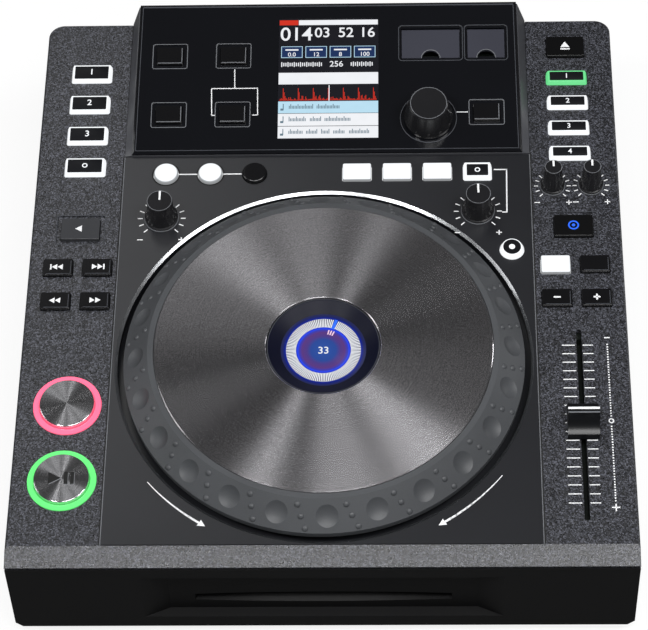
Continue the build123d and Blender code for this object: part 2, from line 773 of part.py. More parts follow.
slant_run = ring_radius - ring_rim_outer
slant_drop = ring_top - lip_top
slant_length = (slant_run**2 + slant_drop**2) ** 0.5
dimple_sphere = (dimple_radius**2 + dimple_depth**2) / (2 * dimple_depth)
dimple_reach = dimple_sphere - dimple_depth
dimple_centre_r = ring_rim_outer + slant_run / 2 + dimple_reach * slant_drop / slant_length
dimple_centre_h = ring_top - slant_drop / 2 + dimple_reach * slant_run / slant_length

with BuildPart() as jog_ring:
    with BuildSketch(jog_section):
        with BuildLine():
            Polyline(
                (ring_rim_inner, ring_top),
                (ring_rim_outer, ring_top),
                (ring_radius, lip_top),
                (ring_radius, -ring_foot_drop),
                (ring_radius - ring_thickness, -ring_foot_drop),
                (ring_radius - ring_thickness, lip_top - 0.5),
                (hub_radius + ring_play, hub_disc_base),
                (hub_radius + ring_play, ring_seat),
                (ring_rim_inner, ring_seat),
                close=True,
            )
        make_face()
    revolve(axis=jog_axis)
    with Locations(jog_plane.offset(dimple_centre_h)):
        with PolarLocations(dimple_centre_r, ring_dimples, start_angle=dimple_start):
            Sphere(dimple_sphere, mode=Mode.SUBTRACT)
save(jog_ring, "jog_ring")

with BuildPart() as jog_display:
    with BuildSketch(jog_section):
        with BuildLine():
            Polyline(
                (post_bore, -well_depth),
                (post_flange_radius, -well_depth),
                (post_flange_radius, -well_depth + post_flange_thickness),
                (post_radius, -well_depth + post_flange_thickness),
                (post_radius, bezel_base),
                (bezel_radius, bezel_base),
                (bezel_radius, bezel_top),
                (bezel_radius - 0.8, bezel_top),
                (display_radius, display_level),
                (0, display_level),
                (0, bezel_base - 1.5),
                (post_bore, bezel_base - 1.5),
                close=True,
            )
        make_face()
    revolve(axis=jog_axis)
save(jog_display, "jog_display")

# ---- display block: drafted housing, glossy control panel, screen and the two port doors --------
housing_front_y = deck.from_local_coords(Vector(0, housing_start, -centre_thickness)).Y
door_depth = door_width
card_door_x = 56.9 * panel_span
card_door_width = 31.8 * panel_span
usb_door_x = 87.4 * panel_span
usb_door_width = 20.3 * panel_span
door_v = 68.3
doors = [("card_door", card_door_x, card_door_width), ("usb_door", usb_door_x, usb_door_width)]
door_rear_v = door_v + door_depth / 2
door_front_v = door_v - door_depth / 2
pocket_rear_v = door_rear_v + hinge_back - barrel_radius
hinge_v = pocket_rear_v - hinge_back
panel_windows = [
    (-98.0 * panel_span, -34.0 * panel_span, 13.0, 74.0),
    (36.0 * panel_span, 102.0 * panel_span, 8.0, 42.0),
    (38.0 * panel_span, 101.0 * panel_span, 56.0, 81.0),
]
panel_board_pins = [
    (-90.0 * panel_span, 80.0),
    (-42.0 * panel_span, 80.0),
    (44.0 * panel_span, 48.0),
    (94.0 * panel_span, 48.0),
]
port_board_drop = 22.4         # panel surface to the board under the two doors
port_board_pins = [(46.0 * panel_span, 83.5), (92.0 * panel_span, 83.5)]


def housing_section(y, half_top):
    """Half-outline points of the housing across the player at a place y."""
    base = deck_z(y) - centre_thickness / cos(slope)
    shoulder = deck_z(y)
    top = panel_z(y) - panel_thickness / cos(panel_slope)
    half_base = centre_half_width - fit_gap
    return [
        (-half_base, base),
        (half_base, base),
        (half_base, shoulder),
        (half_top, top),
        (-half_top, top),
        (-half_base, shoulder),
    ]


with BuildPart() as display_housing:
    with BuildSketch(Plane.XZ.offset(-housing_front_y)):
        with BuildLine():
            Polyline(*housing_section(housing_front_y, panel_half_front + housing_ledge), close=True)
        make_face()
    with BuildSketch(Plane.XZ.offset(-rear_y)):
        with BuildLine():
            Polyline(*housing_section(rear_y, panel_half_rear + housing_ledge), close=True)
        make_face()
    loft(ruled=True)
    skin_drop = (panel_thickness + housing_skin) / cos(panel_slope)
    with BuildSketch(Plane.YZ):
        with BuildLine():
            Polyline(
                (housing_front_y + housing_skin, deck_z(housing_front_y) - 5),
                (housing_front_y + housing_skin, panel_z(housing_front_y + housing_skin) - skin_drop),
                (rear_y - housing_skin, panel_z(rear_y - housing_skin) - skin_drop),
                (rear_y - housing_skin, deck_z(rear_y) - 5),
                close=True,
            )
        make_face()
    extrude(amount=centre_half_width - housing_side, both=True, mode=Mode.SUBTRACT)
    with BuildSketch(panel):
        with Locations((screen_x, screen_v)):
            Rectangle(screen_width + 2 * screen_frame + 1, screen_height + 2 * screen_frame + 1)
        for left, right, front, rear in panel_windows:
            with Locations(((left + right) / 2, (front + rear) / 2)):
                Rectangle(right - left, rear - front)
    extrude(amount=-panel_thickness - 2 * housing_skin, mode=Mode.SUBTRACT)
    with BuildSketch(panel.offset(-board_drop)):
        with Locations(*panel_board_pins):
            Circle(post_pin_radius)
    extrude(amount=board_drop - panel_thickness - housing_skin / 2)
    with BuildSketch(panel.offset(-port_board_drop)):
        with Locations(*port_board_pins):
            Circle(post_pin_radius)
    extrude(amount=port_board_drop - panel_thickness - housing_skin / 2)
save(display_housing, "display_housing")

with BuildPart() as control_panel:
    with BuildSketch(panel):
        with BuildLine():
            Polyline(
                (-panel_half_front, 0),
                (panel_half_front, 0),
                (panel_half_rear, panel_length),
                (-panel_half_rear, panel_length),
                close=True,
            )
        make_face()
    extrude(amount=-panel_thickness)
    chamfer(control_panel.faces().sort_by(normal_axis(panel, 0, 0))[-1].edges(), panel_rim)
    with BuildSketch(panel.offset(-panel_thickness)):
        with Locations((screen_x, screen_v)):
            Rectangle(screen_width + fit_gap, screen_height + fit_gap)
        with Locations((select_x, select_v)):
            Circle(spindle_hole_radius)
    extrude(amount=panel_thickness + 1, mode=Mode.SUBTRACT)
    with BuildSketch(panel):
        with Locations((select_x, select_v)):
            Circle(knob_dish_radius)
    extrude(amount=-knob_dish_depth, mode=Mode.SUBTRACT)
    cut_button_openings(panel_buttons, panel, panel_thickness)
    with BuildSketch(panel):
        for name, x, width in doors:
            with Locations((x, (door_front_v + pocket_rear_v) / 2)):
                RectangleRounded(width + 2 * door_frame, pocket_rear_v - door_front_v + 2 * door_frame, 2.0)
    extrude(amount=-door_frame_depth, mode=Mode.SUBTRACT)
    with BuildSketch(panel):
        for name, x, width in doors:
            with Locations((x, (door_front_v - fit_gap + pocket_rear_v) / 2)):
                Rectangle(width + 2 * fit_gap, pocket_rear_v - door_front_v + fit_gap)
    extrude(amount=-door_thickness - door_sink, mode=Mode.SUBTRACT)
    with BuildSketch(panel):
        for name, x, width in doors:
            with Locations((x, (door_front_v + door_ledge + pocket_rear_v) / 2)):
                Rectangle(width + 2 * fit_gap, pocket_rear_v - door_front_v - door_ledge)
    extrude(amount=-panel_thickness, mode=Mode.SUBTRACT)
    for name, x, width in doors:
        hinge_centre = panel.from_local_coords(Vector(x, hinge_v, -hinge_drop))
        with BuildSketch(Plane(origin=hinge_centre, x_dir=panel.y_dir, z_dir=(1, 0, 0))):
            Circle(hinge_pin_radius + hinge_gap)
        extrude(amount=width / 2 + fit_gap + hinge_pin_length + 0.1, both=True, mode=Mode.SUBTRACT)
save(control_panel, "control_panel")

with BuildPart() as touch_screen:
    with BuildSketch(panel.offset(-screen_recess)):
        with Locations((screen_x, screen_v)):
            Rectangle(screen_width, screen_height)
    extrude(amount=screen_recess - panel_thickness)
    with BuildSketch(panel.offset(-panel_thickness)):
        with Locations((screen_x, screen_v)):
            Rectangle(screen_width + 2 * screen_frame, screen_height + 2 * screen_frame)
    extrude(amount=-screen_depth)
save(touch_screen, "touch_screen")

for name, x, width in doors:
    with BuildPart() as door:
        hinge_centre = panel.from_local_coords(Vector(x, hinge_v, -hinge_drop))
        end_plane = Plane(origin=hinge_centre, x_dir=panel.y_dir, z_dir=(1, 0, 0))
        with BuildSketch(panel.offset(-door_sink)):
            with Locations((x, (door_front_v + hinge_v) / 2)):
                Rectangle(width, hinge_v - door_front_v)
        extrude(amount=-door_thickness)
        with BuildSketch(end_plane):
            Circle(barrel_radius)
        extrude(amount=width / 2, both=True)
        with BuildSketch(end_plane):
            Circle(hinge_pin_radius)
        extrude(amount=width / 2 + hinge_pin_length, both=True)
        with BuildSketch(panel):
            with Locations((x, door_front_v)):
                Circle(door_notch_radius)
        extrude(amount=-door_thickness - 1, mode=Mode.SUBTRACT)
    save(door, name)

# ---- every push button --------------------------------------------------------------------------
for button in left_buttons + right_buttons:
    build_button(button, deck, shell_wall)
for button in centre_buttons:
    build_button(button, deck, centre_thickness)
for button in panel_buttons:
    build_button(button, panel, panel_thickness)

with BuildPart() as light_collars:
    with BuildSketch(deck.offset(-shell_wall - light_flange)):
        for button in light_buttons:
            with Locations((button.x, button.y)):
                Circle(light_outer_radius + light_flange_margin)
    extrude(amount=light_flange)
    with BuildSketch(deck.offset(-shell_wall)):
        for button in light_buttons:
            with Locations((button.x, button.y)):
                Circle(light_outer_radius)
    extrude(amount=shell_wall + light_rise)
    with BuildSketch(deck.offset(-shell_wall - light_flange)):
        for button in light_buttons:
            with Locations((button.x, button.y)):
                Circle(light_inner_radius)
    extrude(amount=shell_wall + light_flange + 2, mode=Mode.SUBTRACT)
save(light_collars, "light_collars")

# ---- turning knobs ------------------------------------------------------------------------------
spindle_foot = board_drop - pot_height + pot_bore_depth - 0.6

for knob in centre_knobs + wing_knobs:
    with BuildPart() as body:
        axis = normal_axis(deck, knob.x, knob.y)
        with BuildSketch(upright(deck, knob.x, knob.y)):
            with BuildLine():
                Polyline(
                    (0, -spindle_foot),
                    (spindle_radius, -spindle_foot),
                    (spindle_radius, knob_lift),
                    (knob.base_radius, knob_lift),
                    (knob.base_radius, knob_lift + 1.4),
                    (knob.base_radius - 0.6, knob_lift + 1.6),
                    (knob.top_radius + 0.3, knob.height * 0.62),
                    (knob.top_radius, knob.height - 0.5),
                    (knob.top_radius - 0.5, knob.height),
                    (0, knob.height),
                    close=True,
                )
            make_face()
        revolve(axis=axis)
        with BuildSketch(deck.offset(knob_lift + 1.8)):
            with Locations((knob.x, knob.y)):
                flute_radius = flute_share * knob.base_radius
                with PolarLocations(knob.base_radius - flute_depth + flute_radius, knob_flutes, 22.5):
                    Circle(flute_radius)
        flute_rise = knob.height - knob_lift - 2.4
        flare = degrees(atan2(knob.base_radius - knob.top_radius - flute_depth / 2, flute_rise))
        extrude(amount=flute_rise, taper=-flare, mode=Mode.SUBTRACT)
    save(body, knob.name)

select_spindle_foot = spindle_foot - press_travel
with BuildPart() as select_plunger:
    with BuildSketch(panel.offset(-select_spindle_foot)):
        with Locations((select_x, select_v)):
            Circle(spindle_radius)
    extrude(amount=select_spindle_top + select_spindle_foot)
    with BuildSketch(panel.offset(-panel_thickness)):
        with Locations((select_x, select_v)):
            Circle(spindle_hole_radius + 1.0)
    extrude(amount=-1.0)
save(select_plunger, "select_plunger")

select_lift = 0.1
with BuildPart() as select_knob:
    axis = normal_axis(panel, select_x, select_v)
    with BuildSketch(upright(panel, select_x, select_v)):
        with BuildLine():
            Polyline(
                (spindle_radius + spindle_gap, select_lift),
                (select_base_radius, select_lift),
                (select_base_radius, select_lift + 2.0),
                (select_top_radius + 0.8, select_height * 0.7),
                (select_top_radius, select_height - 0.6),
                (select_top_radius - 0.6, select_height),
                (0, select_height),
                (0, select_spindle_top),
                (spindle_radius + spindle_gap, select_spindle_top),
                close=True,
            )
        make_face()
    revolve(axis=axis)
    with BuildSketch(panel.offset(select_lift + 2.4)):
        with Locations((select_x, select_v)):
            with PolarLocations(select_base_radius + 0.3, 12):
                Circle(1.1)
    extrude(amount=select_height - 5.0, taper=8, mode=Mode.SUBTRACT)
save(select_knob, "select_knob")

# ---- pitch fader --------------------------------------------------------------------------------
fader_level = 0.6
fader_centre = deck.from_local_coords(Vector(fader_x, fader_u, 0))
fader_plane = Plane(origin=fader_centre, x_dir=deck.y_dir, z_dir=(1, 0, 0))
fader_lever_foot = board_drop - fader_body_height + 5.0
with BuildPart() as pitch_fader_cap:
    half = fader_cap_length / 2
    with BuildSketch(fader_plane):
        with BuildLine():
            floor = Line((-half, fader_level), (half, fader_level))
            rear = Line(floor @ 1, (half - 0.8, fader_cap_end_height))
            rear_scoop = ThreePointArc(
                rear @ 1,
                ((half - 0.8 + fader_ridge / 2) / 2, fader_cap_end_height + fader_scoop),
                (fader_ridge / 2, fader_cap_height),
            )
            ridge = Line(rear_scoop @ 1, (-fader_ridge / 2, fader_cap_height))
            front_scoop = ThreePointArc(
                ridge @ 1,
                (-(half - 0.8 + fader_ridge / 2) / 2, fader_cap_end_height + fader_scoop),
                (-half + 0.8, fader_cap_end_height),
            )
            Line(front_scoop @ 1, floor @ 0)
        make_face()
    extrude(amount=fader_cap_width / 2, both=True)
    with BuildSketch(deck.offset(-fader_lever_foot)):
        with Locations((fader_x, fader_u)):
            Rectangle(fader_lever_width, fader_lever_length)
    extrude(amount=fader_lever_foot + fader_level)
save(pitch_fader_cap, "pitch_fader_cap")

# ---- slot-in disc drive -------------------------------------------------------------------------
drive_front_y = block_back_y + drive_gap
drive_rear_y = drive_front_y + drive_length
drive_bottom_z = casing_bottom + drive_bottom
drive_inner_width = drive_width - 2 * drive_sheet
loading_z = slot_z - drive_plate_drop
spindle_y = drive_front_y + 76.0
roller_y = drive_front_y + 10.0
roller_z = slot_z - 2.3 - roller_radius

with BuildPart() as disc_drive:
    with BuildSketch(Plane.XY.offset(drive_bottom_z)):
        with Locations((0, (drive_front_y + drive_rear_y) / 2)):
            Rectangle(drive_width, drive_length)
    extrude(amount=drive_height)
    with BuildSketch(Plane.XY.offset(drive_bottom_z + drive_sheet)):
        with Locations((0, (drive_front_y + drive_rear_y) / 2)):
            Rectangle(drive_inner_width, drive_length - 2 * drive_sheet)
    extrude(amount=drive_height - 2 * drive_sheet, mode=Mode.SUBTRACT)
    with BuildSketch(Plane.XZ.offset(-drive_front_y)):
        with Locations((0, slot_z)):
            Rectangle(slot_width, slot_height)
    extrude(amount=-drive_sheet, mode=Mode.SUBTRACT)
    # plate that the disc travels over, with gaps for the roller and for the pickup
    with BuildSketch(Plane.XY.offset(loading_z - drive_plate_thickness)):
        with Locations((0, (drive_front_y + drive_rear_y) / 2)):
            Rectangle(drive_inner_width, drive_length - 2 * drive_sheet)
        with Locations((0, roller_y)):
            Rectangle(2 * disc_radius, 2 * roller_radius + 2, mode=Mode.SUBTRACT)
        with Locations((0, spindle_y + 33.0)):
            Rectangle(30.0, 44.0, mode=Mode.SUBTRACT)
    extrude(amount=drive_plate_thickness)
    with BuildSketch(Plane.XY.offset(loading_z)):
        with Locations((0, spindle_y)):
            Circle(7.4)
    extrude(amount=slot_z - 2.3 - loading_z)
    # rubber roller on its axle
    with BuildSketch(Plane.YZ):
        with Locations((roller_y, roller_z)):
            Circle(roller_radius)
    extrude(amount=disc_radius - 4, both=True)
    with BuildSketch(Plane.YZ):
        with Locations((roller_y, roller_z)):
            Circle(roller_radius / 2)
    extrude(amount=drive_inner_width / 2, both=True)
    # pickup sled on two rods
    with BuildSketch(Plane.XZ.offset(-spindle_y - 8.0)):
        with Locations((-18.0, loading_z - 5.2), (18.0, loading_z - 5.2)):
            Circle(1.2)
    extrude(amount=spindle_y + 8.0 - drive_rear_y + drive_sheet)
    with BuildSketch(Plane.XY.offset(loading_z - 7.4)):
        with Locations((0, spindle_y + 26.0)):
            Rectangle(42.0, 18.0)
    extrude(amount=4.6)
    with BuildSketch(Plane.XY.offset(loading_z - 3.0)):
        with Locations((0, spindle_y + 24.0)):
            Circle(3.0)
    extrude(amount=2.4)
save(disc_drive, "disc_drive")

# ---- circuit boards with switches, pots, fader body and card and memory-stick sockets -----------
fader_body_length = fader_slot_length + 2 * fader_body_margin
wing_board_length = wing_board_u[1] - wing_board_u[0]
centre_board = (4.0 - centre_half_width, centre_half_width - 4.0, row_window_u[0] + 1.0, row_window_u[1])
switched_wings = left_buttons + right_buttons
board_z = drive_bottom_z

with BuildPart() as circuit_boards:
    # wing boards and the centre board hang level with the deck
    with BuildSketch(deck.offset(-board_drop)):
        for x in (-wing_board_x, wing_board_x):
            with Locations((x, (wing_board_u[0] + wing_board_u[1]) / 2)):
                Rectangle(wing_board_width, wing_board_length)
        left, right, front, rear = centre_board
        with Locations(((left + right) / 2, (front + rear) / 2)):
            Rectangle(right - left, rear - front)
    extrude(amount=-board_thickness)
    with BuildSketch(deck.offset(-board_drop)):
        for button in switched_wings + centre_buttons:
            with Locations((button.x, button.y)):
                Rectangle(switch_size, switch_size)
    extrude(amount=switch_height)
    with BuildSketch(deck.offset(-board_drop)):
        for knob in centre_knobs + wing_knobs:
            with Locations((knob.x, knob.y)):
                Circle(pot_radius)
    extrude(amount=pot_height)
    with BuildSketch(deck.offset(-board_drop)):
        with Locations((fader_x, fader_u)):
            Rectangle(fader_body_width, fader_body_length)
    extrude(amount=fader_body_height)
    # the panel's board and the lower board under the two doors
    with BuildSketch(panel.offset(-board_drop)):
        with Locations((0, 30.5)):
            Rectangle(2 * (panel_half_rear - 6.6), 45.0)
        with Locations((-66.0 * panel_span, 68.5)):
            Rectangle(64.0 * panel_span, 31.0)
    extrude(amount=-board_thickness)
    with BuildSketch(panel.offset(-board_drop)):
        for button in panel_buttons:
            with Locations((button.x, button.y)):
                Rectangle(switch_size, switch_size)
    extrude(amount=switch_height)
    with BuildSketch(panel.offset(-board_drop)):
        with Locations((select_x, select_v)):
            Circle(pot_radius)
    extrude(amount=pot_height)
    with BuildSketch(panel.offset(-port_board_drop)):
        with Locations((69.0 * panel_span, 72.0)):
            Rectangle(62.0 * panel_span, 28.0)
    extrude(amount=-board_thickness)
    with BuildSketch(panel.offset(-port_board_drop)):
        with Locations((card_door_x, door_v - 2.0)):
            Rectangle(28.0, 9.0)
        with Locations((usb_door_x, door_v - 2.0)):
            Rectangle(15.0, 8.0)
    extrude(amount=port_board_drop - port_top_drop)
    # bores for the switch stems and the spindles
    with BuildSketch(deck.offset(-board_drop + switch_height)):
        for button in switched_wings + centre_buttons:
            with Locations((button.x, button.y)):
                Circle(stem_radius + stem_bore_gap)
    extrude(amount=-stem_entry - press_travel - 0.4, mode=Mode.SUBTRACT)
    with BuildSketch(panel.offset(-board_drop + switch_height)):
        for button in panel_buttons:
            with Locations((button.x, button.y)):
                Circle(stem_radius + stem_bore_gap)
    extrude(amount=-stem_entry - press_travel - 0.4, mode=Mode.SUBTRACT)
    with BuildSketch(deck.offset(-board_drop + pot_height)):
        for knob in centre_knobs + wing_knobs:
            with Locations((knob.x, knob.y)):
                Circle(spindle_radius + spindle_gap)
    extrude(amount=-pot_bore_depth, mode=Mode.SUBTRACT)
    with BuildSketch(panel.offset(-board_drop + pot_height)):
        with Locations((select_x, select_v)):
            Circle(spindle_radius + spindle_gap)
    extrude(amount=-pot_bore_depth, mode=Mode.SUBTRACT)
    with BuildSketch(deck.offset(-board_drop + fader_body_height)):
        with Locations((fader_x, fader_u)):
            Rectangle(fader_slot_width, fader_travel + fader_lever_length + 1)
    extrude(amount=-pot_bore_depth, mode=Mode.SUBTRACT)
    # openings of the card socket and the memory-stick socket
    with BuildSketch(panel.offset(-port_top_drop)):
        with Locations((card_door_x, door_v - 2.0)):
            Rectangle(24.6, 2.6)
        with Locations((usb_door_x, door_v - 2.0)):
            Rectangle(12.2, 4.8)
    extrude(amount=-12.0, mode=Mode.SUBTRACT)
    with BuildSketch(panel.offset(-port_top_drop - 12.0)):
        with Locations((usb_door_x, door_v - 1.2)):
            Rectangle(10.4, 1.8)
    extrude(amount=9.0)
    # main board and power board on the posts of the casing's floor
    with BuildSketch(Plane.XY.offset(board_z)):
        for left, right, front, rear in (main_board, power_board):
            with Locations(((left + right) / 2, (front + rear) / 2)):
                Rectangle(right - left, rear - front)
    extrude(amount=board_thickness)
    with BuildSketch(Plane.XY.offset(board_z + board_thickness)):
        with Locations((-40.0, main_board[2] + 50.0), (10.0, main_board[2] + 60.0)):
            Rectangle(26.0, 26.0)
    extrude(amount=2.0)
    with BuildSketch(Plane.XY.offset(board_z + board_thickness)):
        with Locations((power_board[0] + 31.0, power_board[2] + 40.0)):
            Rectangle(34.0, 28.0)
        with Locations((power_board[0] + 18.0, power_board[3] - 24.0)):
            Circle(8.0)
        with Locations((power_board[0] + 44.0, power_board[3] - 24.0)):
            Circle(8.0)
    extrude(amount=24.0)
save(circuit_boards, "circuit_boards")

# ---- rear sockets and the power rocker ----------------------------------------------------------
socket_z = casing_bottom + socket_level
wall_inner_y = rear_y - shell_wall
rear_face = Plane.XZ.offset(-rear_y)
wall_face = Plane.XZ.offset(-wall_inner_y)
rocker_pivot = (rear_y - rocker_inset, socket_z)

with BuildPart() as rear_sockets:
    # bodies inside the wall
    with BuildSketch(wall_face):
        for x in phono_x:
            with Locations((x, socket_z)):
                Rectangle(13.0, 13.0)
        for x in jack_x:
            with Locations((x, socket_z)):
                Rectangle(9.0, 11.0)
    extrude(amount=jack_bore_depth + 2)
    with BuildSketch(rear_face):
        with Locations((inlet_x, socket_z)):
            Rectangle(inlet_width + 2 * socket_wall, inlet_height + 2 * socket_wall)
        with Locations((rocker_x, socket_z)):
            Rectangle(rocker_well_width + 2 * socket_wall, rocker_well_height + 2 * socket_wall)
        with Locations((host_port_x, socket_z)):
            Rectangle(host_width, host_height)
    extrude(amount=inlet_depth + socket_wall)
    # flanges and barrels outside the wall
    with BuildSketch(rear_face):
        with Locations((inlet_x, socket_z)):
            RectangleRounded(inlet_width + 4 * socket_wall, inlet_height + 4 * socket_wall, 2.0)
        with Locations((rocker_x, socket_z)):
            RectangleRounded(rocker_well_width + 4 * socket_wall, rocker_well_height + 4 * socket_wall, 2.0)
        with Locations((host_port_x, socket_z)):
            Rectangle(host_width + socket_wall, host_height + socket_wall)
        for x in phono_x:
            with Locations((x, socket_z)):
                Circle(phono_flange_radius)
        for x in jack_x:
            with Locations((x, socket_z)):
                Circle(jack_radius + 1)
    extrude(amount=-socket_flange)
    with BuildSketch(wall_face):
        for x in phono_x:
            with Locations((x, socket_z)):
                Circle(phono_radius)
    extrude(amount=-shell_wall - socket_reach)
    with BuildSketch(wall_face):
        for x in jack_x:
            with Locations((x, socket_z)):
                Circle(jack_radius)
    extrude(amount=-shell_wall)
    # bores and cavities
    with BuildSketch(Plane.XZ.offset(-rear_y - socket_reach)):
        for x in phono_x:
            with Locations((x, socket_z)):
                Circle(phono_hole_radius)
    extrude(amount=12.0, mode=Mode.SUBTRACT)
    with BuildSketch(Plane.XZ.offset(-rear_y - socket_flange)):
        for x in jack_x:
            with Locations((x, socket_z)):
                Circle(jack_bore_radius)
    extrude(amount=jack_bore_depth, mode=Mode.SUBTRACT)
    with BuildSketch(Plane.XZ.offset(-rear_y - socket_flange)):
        with Locations((inlet_x, socket_z)):
            Rectangle(inlet_width, inlet_height)
            chamfer(vertices().sort_by(Axis.Y)[-2:], 4.0)
    extrude(amount=inlet_depth, mode=Mode.SUBTRACT)
    with BuildSketch(Plane.XZ.offset(-rear_y - socket_flange)):
        with Locations((rocker_x, socket_z)):
            Rectangle(rocker_well_width, rocker_well_height)
    extrude(amount=rocker_well_depth, mode=Mode.SUBTRACT)
    with BuildSketch(Plane.XZ.offset(-rear_y - socket_flange)):
        with Locations((host_port_x, socket_z)):
            Rectangle(8.5, 7.8)
    extrude(amount=12.0, mode=Mode.SUBTRACT)
    # contact blades of the inlet, tongue of the host port
    with BuildSketch(Plane.XZ.offset(-rear_y + inlet_depth - 1)):
        for blade_x, blade_z in ((-7.0, -2.0), (0.0, 2.0), (7.0, -2.0)):
            with Locations((inlet_x + blade_x, socket_z + blade_z)):
                Rectangle(2.0, 4.0)
    extrude(amount=-inlet_depth + 4)
    with BuildSketch(Plane.XZ.offset(-rear_y + 11.0)):
        with Locations((host_port_x, socket_z)):
            Rectangle(5.6, 3.2)
    extrude(amount=-9.0)
    # bearing holes of the rocker
    with BuildSketch(Plane.YZ.offset(rocker_x)):
        with Locations(rocker_pivot):
            Circle(rocker_pin_radius + spindle_gap)
    extrude(amount=rocker_well_width / 2 + socket_wall, both=True, mode=Mode.SUBTRACT)
save(rear_sockets, "rear_sockets")

with BuildPart() as power_switch:
    with BuildSketch(Plane.YZ.offset(rocker_x)):
        with BuildLine():
            Polyline(
                (6.0, rocker_half_height),
                (4.6, 0.0),
                (6.0, -rocker_half_height),
                (1.0, -rocker_half_height),
                (-2.2, -3.0),
                (-2.2, 3.0),
                (1.0, rocker_half_height),
                close=True,
            )
        make_face()
    extrude(amount=rocker_width / 2, both=True)
    with BuildSketch(Plane.YZ.offset(rocker_x)):
        Circle(rocker_pin_radius)
    extrude(amount=rocker_well_width / 2 + socket_wall - fit_gap, both=True)
power_switch.part = Pos(0, *rocker_pivot) * Rot(-rocker_tilt, 0, 0) * power_switch.part
save(power_switch, "power_switch")

# ---- feet and casing screws ---------------------------------------------------------------------
foot_spread_y = rear_y - front_y - 2 * foot_inset_y
foot_middle = (0, (front_y + rear_y) / 2)

with BuildPart() as feet:
    with BuildSketch(Plane.XY):
        with Locations(foot_middle):
            with GridLocations(2 * (body_half_width - foot_inset_x), foot_spread_y, 2, 2):
                Circle(foot_radius)
    extrude(amount=foot_height)
    chamfer(feet.faces().sort_by(Axis.Z)[0:4].edges(), 0.8)
    with BuildSketch(Plane.XY.offset(foot_height)):
        with Locations(foot_middle):
            with GridLocations(2 * (body_half_width - foot_inset_x), foot_spread_y, 2, 2):
                Circle(foot_peg_radius)
    extrude(amount=shell_wall)
save(feet, "feet")

screw_seat_z = casing_bottom + screw_pocket_depth
with BuildPart() as screws:
    with BuildSketch(Plane.XY.offset(screw_seat_z - screw_head_height)):
        with Locations(*boss_places):
            Circle(screw_head_radius)
    extrude(amount=screw_head_height)
    with BuildSketch(Plane.XY.offset(screw_seat_z)):
        with Locations(*boss_places):
            Circle(screw_radius - ring_play)
    extrude(amount=boss_joint_z + screw_grip - screw_seat_z)
    with BuildSketch(Plane.XY.offset(screw_seat_z - screw_head_height)):
        with Locations(*boss_places):
            Rectangle(3.4, 0.8)
            Rectangle(0.8, 3.4)
    extrude(amount=1.2, mode=Mode.SUBTRACT)
save(screws, "screws")
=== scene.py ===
"""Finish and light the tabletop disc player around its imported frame."""
from __future__ import annotations

import json
import logging
import math
from dataclasses import dataclass, field
from enum import Enum
from typing import Any, ClassVar, Sequence

import bmesh
import bpy
from mathutils import Matrix, Vector

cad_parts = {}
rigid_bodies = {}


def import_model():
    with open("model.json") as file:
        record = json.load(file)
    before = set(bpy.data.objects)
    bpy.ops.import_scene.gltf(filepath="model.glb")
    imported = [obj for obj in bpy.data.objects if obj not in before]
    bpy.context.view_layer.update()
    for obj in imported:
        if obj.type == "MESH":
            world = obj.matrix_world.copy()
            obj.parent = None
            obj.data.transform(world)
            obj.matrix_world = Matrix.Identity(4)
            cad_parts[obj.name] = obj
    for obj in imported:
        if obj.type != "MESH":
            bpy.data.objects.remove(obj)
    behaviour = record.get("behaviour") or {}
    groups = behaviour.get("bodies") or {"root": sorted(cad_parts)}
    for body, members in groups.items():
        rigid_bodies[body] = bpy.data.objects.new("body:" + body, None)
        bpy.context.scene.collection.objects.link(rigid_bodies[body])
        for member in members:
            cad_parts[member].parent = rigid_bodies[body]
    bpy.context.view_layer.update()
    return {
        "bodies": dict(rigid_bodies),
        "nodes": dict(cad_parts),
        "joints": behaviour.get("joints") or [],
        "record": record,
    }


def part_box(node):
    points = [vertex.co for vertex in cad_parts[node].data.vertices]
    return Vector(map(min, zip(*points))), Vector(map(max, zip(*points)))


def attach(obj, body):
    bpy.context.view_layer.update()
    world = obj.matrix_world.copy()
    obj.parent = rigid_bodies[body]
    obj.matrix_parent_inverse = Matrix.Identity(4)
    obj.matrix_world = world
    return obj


LOG = logging.getLogger("disc_player")
MM = 0.001
SMOOTH_BELOW = math.radians(35.0)     # faces that meet at less than this are shaded smooth
FRAME_HIGHLIGHT_WIDTH = 0.45                     # width of the painted highlight lines round the sunken button frames, mm
THIN, HAIR = 0.04, 0.03               # thickness of thin marks, among them painted highlight and painted shadow lines, mm
PLASTIC_IOR = 1.53
WHITE = (1.0, 1.0, 1.0, 1.0)

Point = tuple[float, float]
Point3 = tuple[float, float, float]
Colour = tuple[float, float, float, float]


# ---------------------------------------------------------------- faces of the player
@dataclass(frozen=True)
class Face:
    """A sloping face of the player with its own frame in millimetres.

    Its x runs to the right, its y up the slope, and its height along the normal.
    """

    origin: Point3
    tilt: float

    def place(self, x: float = 0.0, y: float = 0.0, height: float = 0.0, turn: float = 0.0) -> Matrix:
        """Give the matrix from a piece's own millimetres to the scene's metres.

        Args:
            x: place across the face, mm.
            y: place up the face, mm.
            height: place above the face, mm.
            turn: turn about the normal, degrees.

        Returns:
            The matrix that puts a piece there.
        """
        frame = Matrix.Translation(Vector(self.origin)) @ Matrix.Rotation(self.tilt, 4, "X")
        own = Matrix.Translation((x, y, height)) @ Matrix.Rotation(math.radians(turn), 4, "Z")
        return Matrix.Scale(MM, 4) @ frame @ own

    def normal(self) -> Vector:
        """Return the face's outward normal."""
        return Matrix.Rotation(self.tilt, 3, "X") @ Vector((0.0, 0.0, 1.0))

    def point(self, x: float, y: float, height: float = 0.0) -> Vector:
        """Return a point of the face in the scene's metres."""
        return self.place(x, y, height).translation


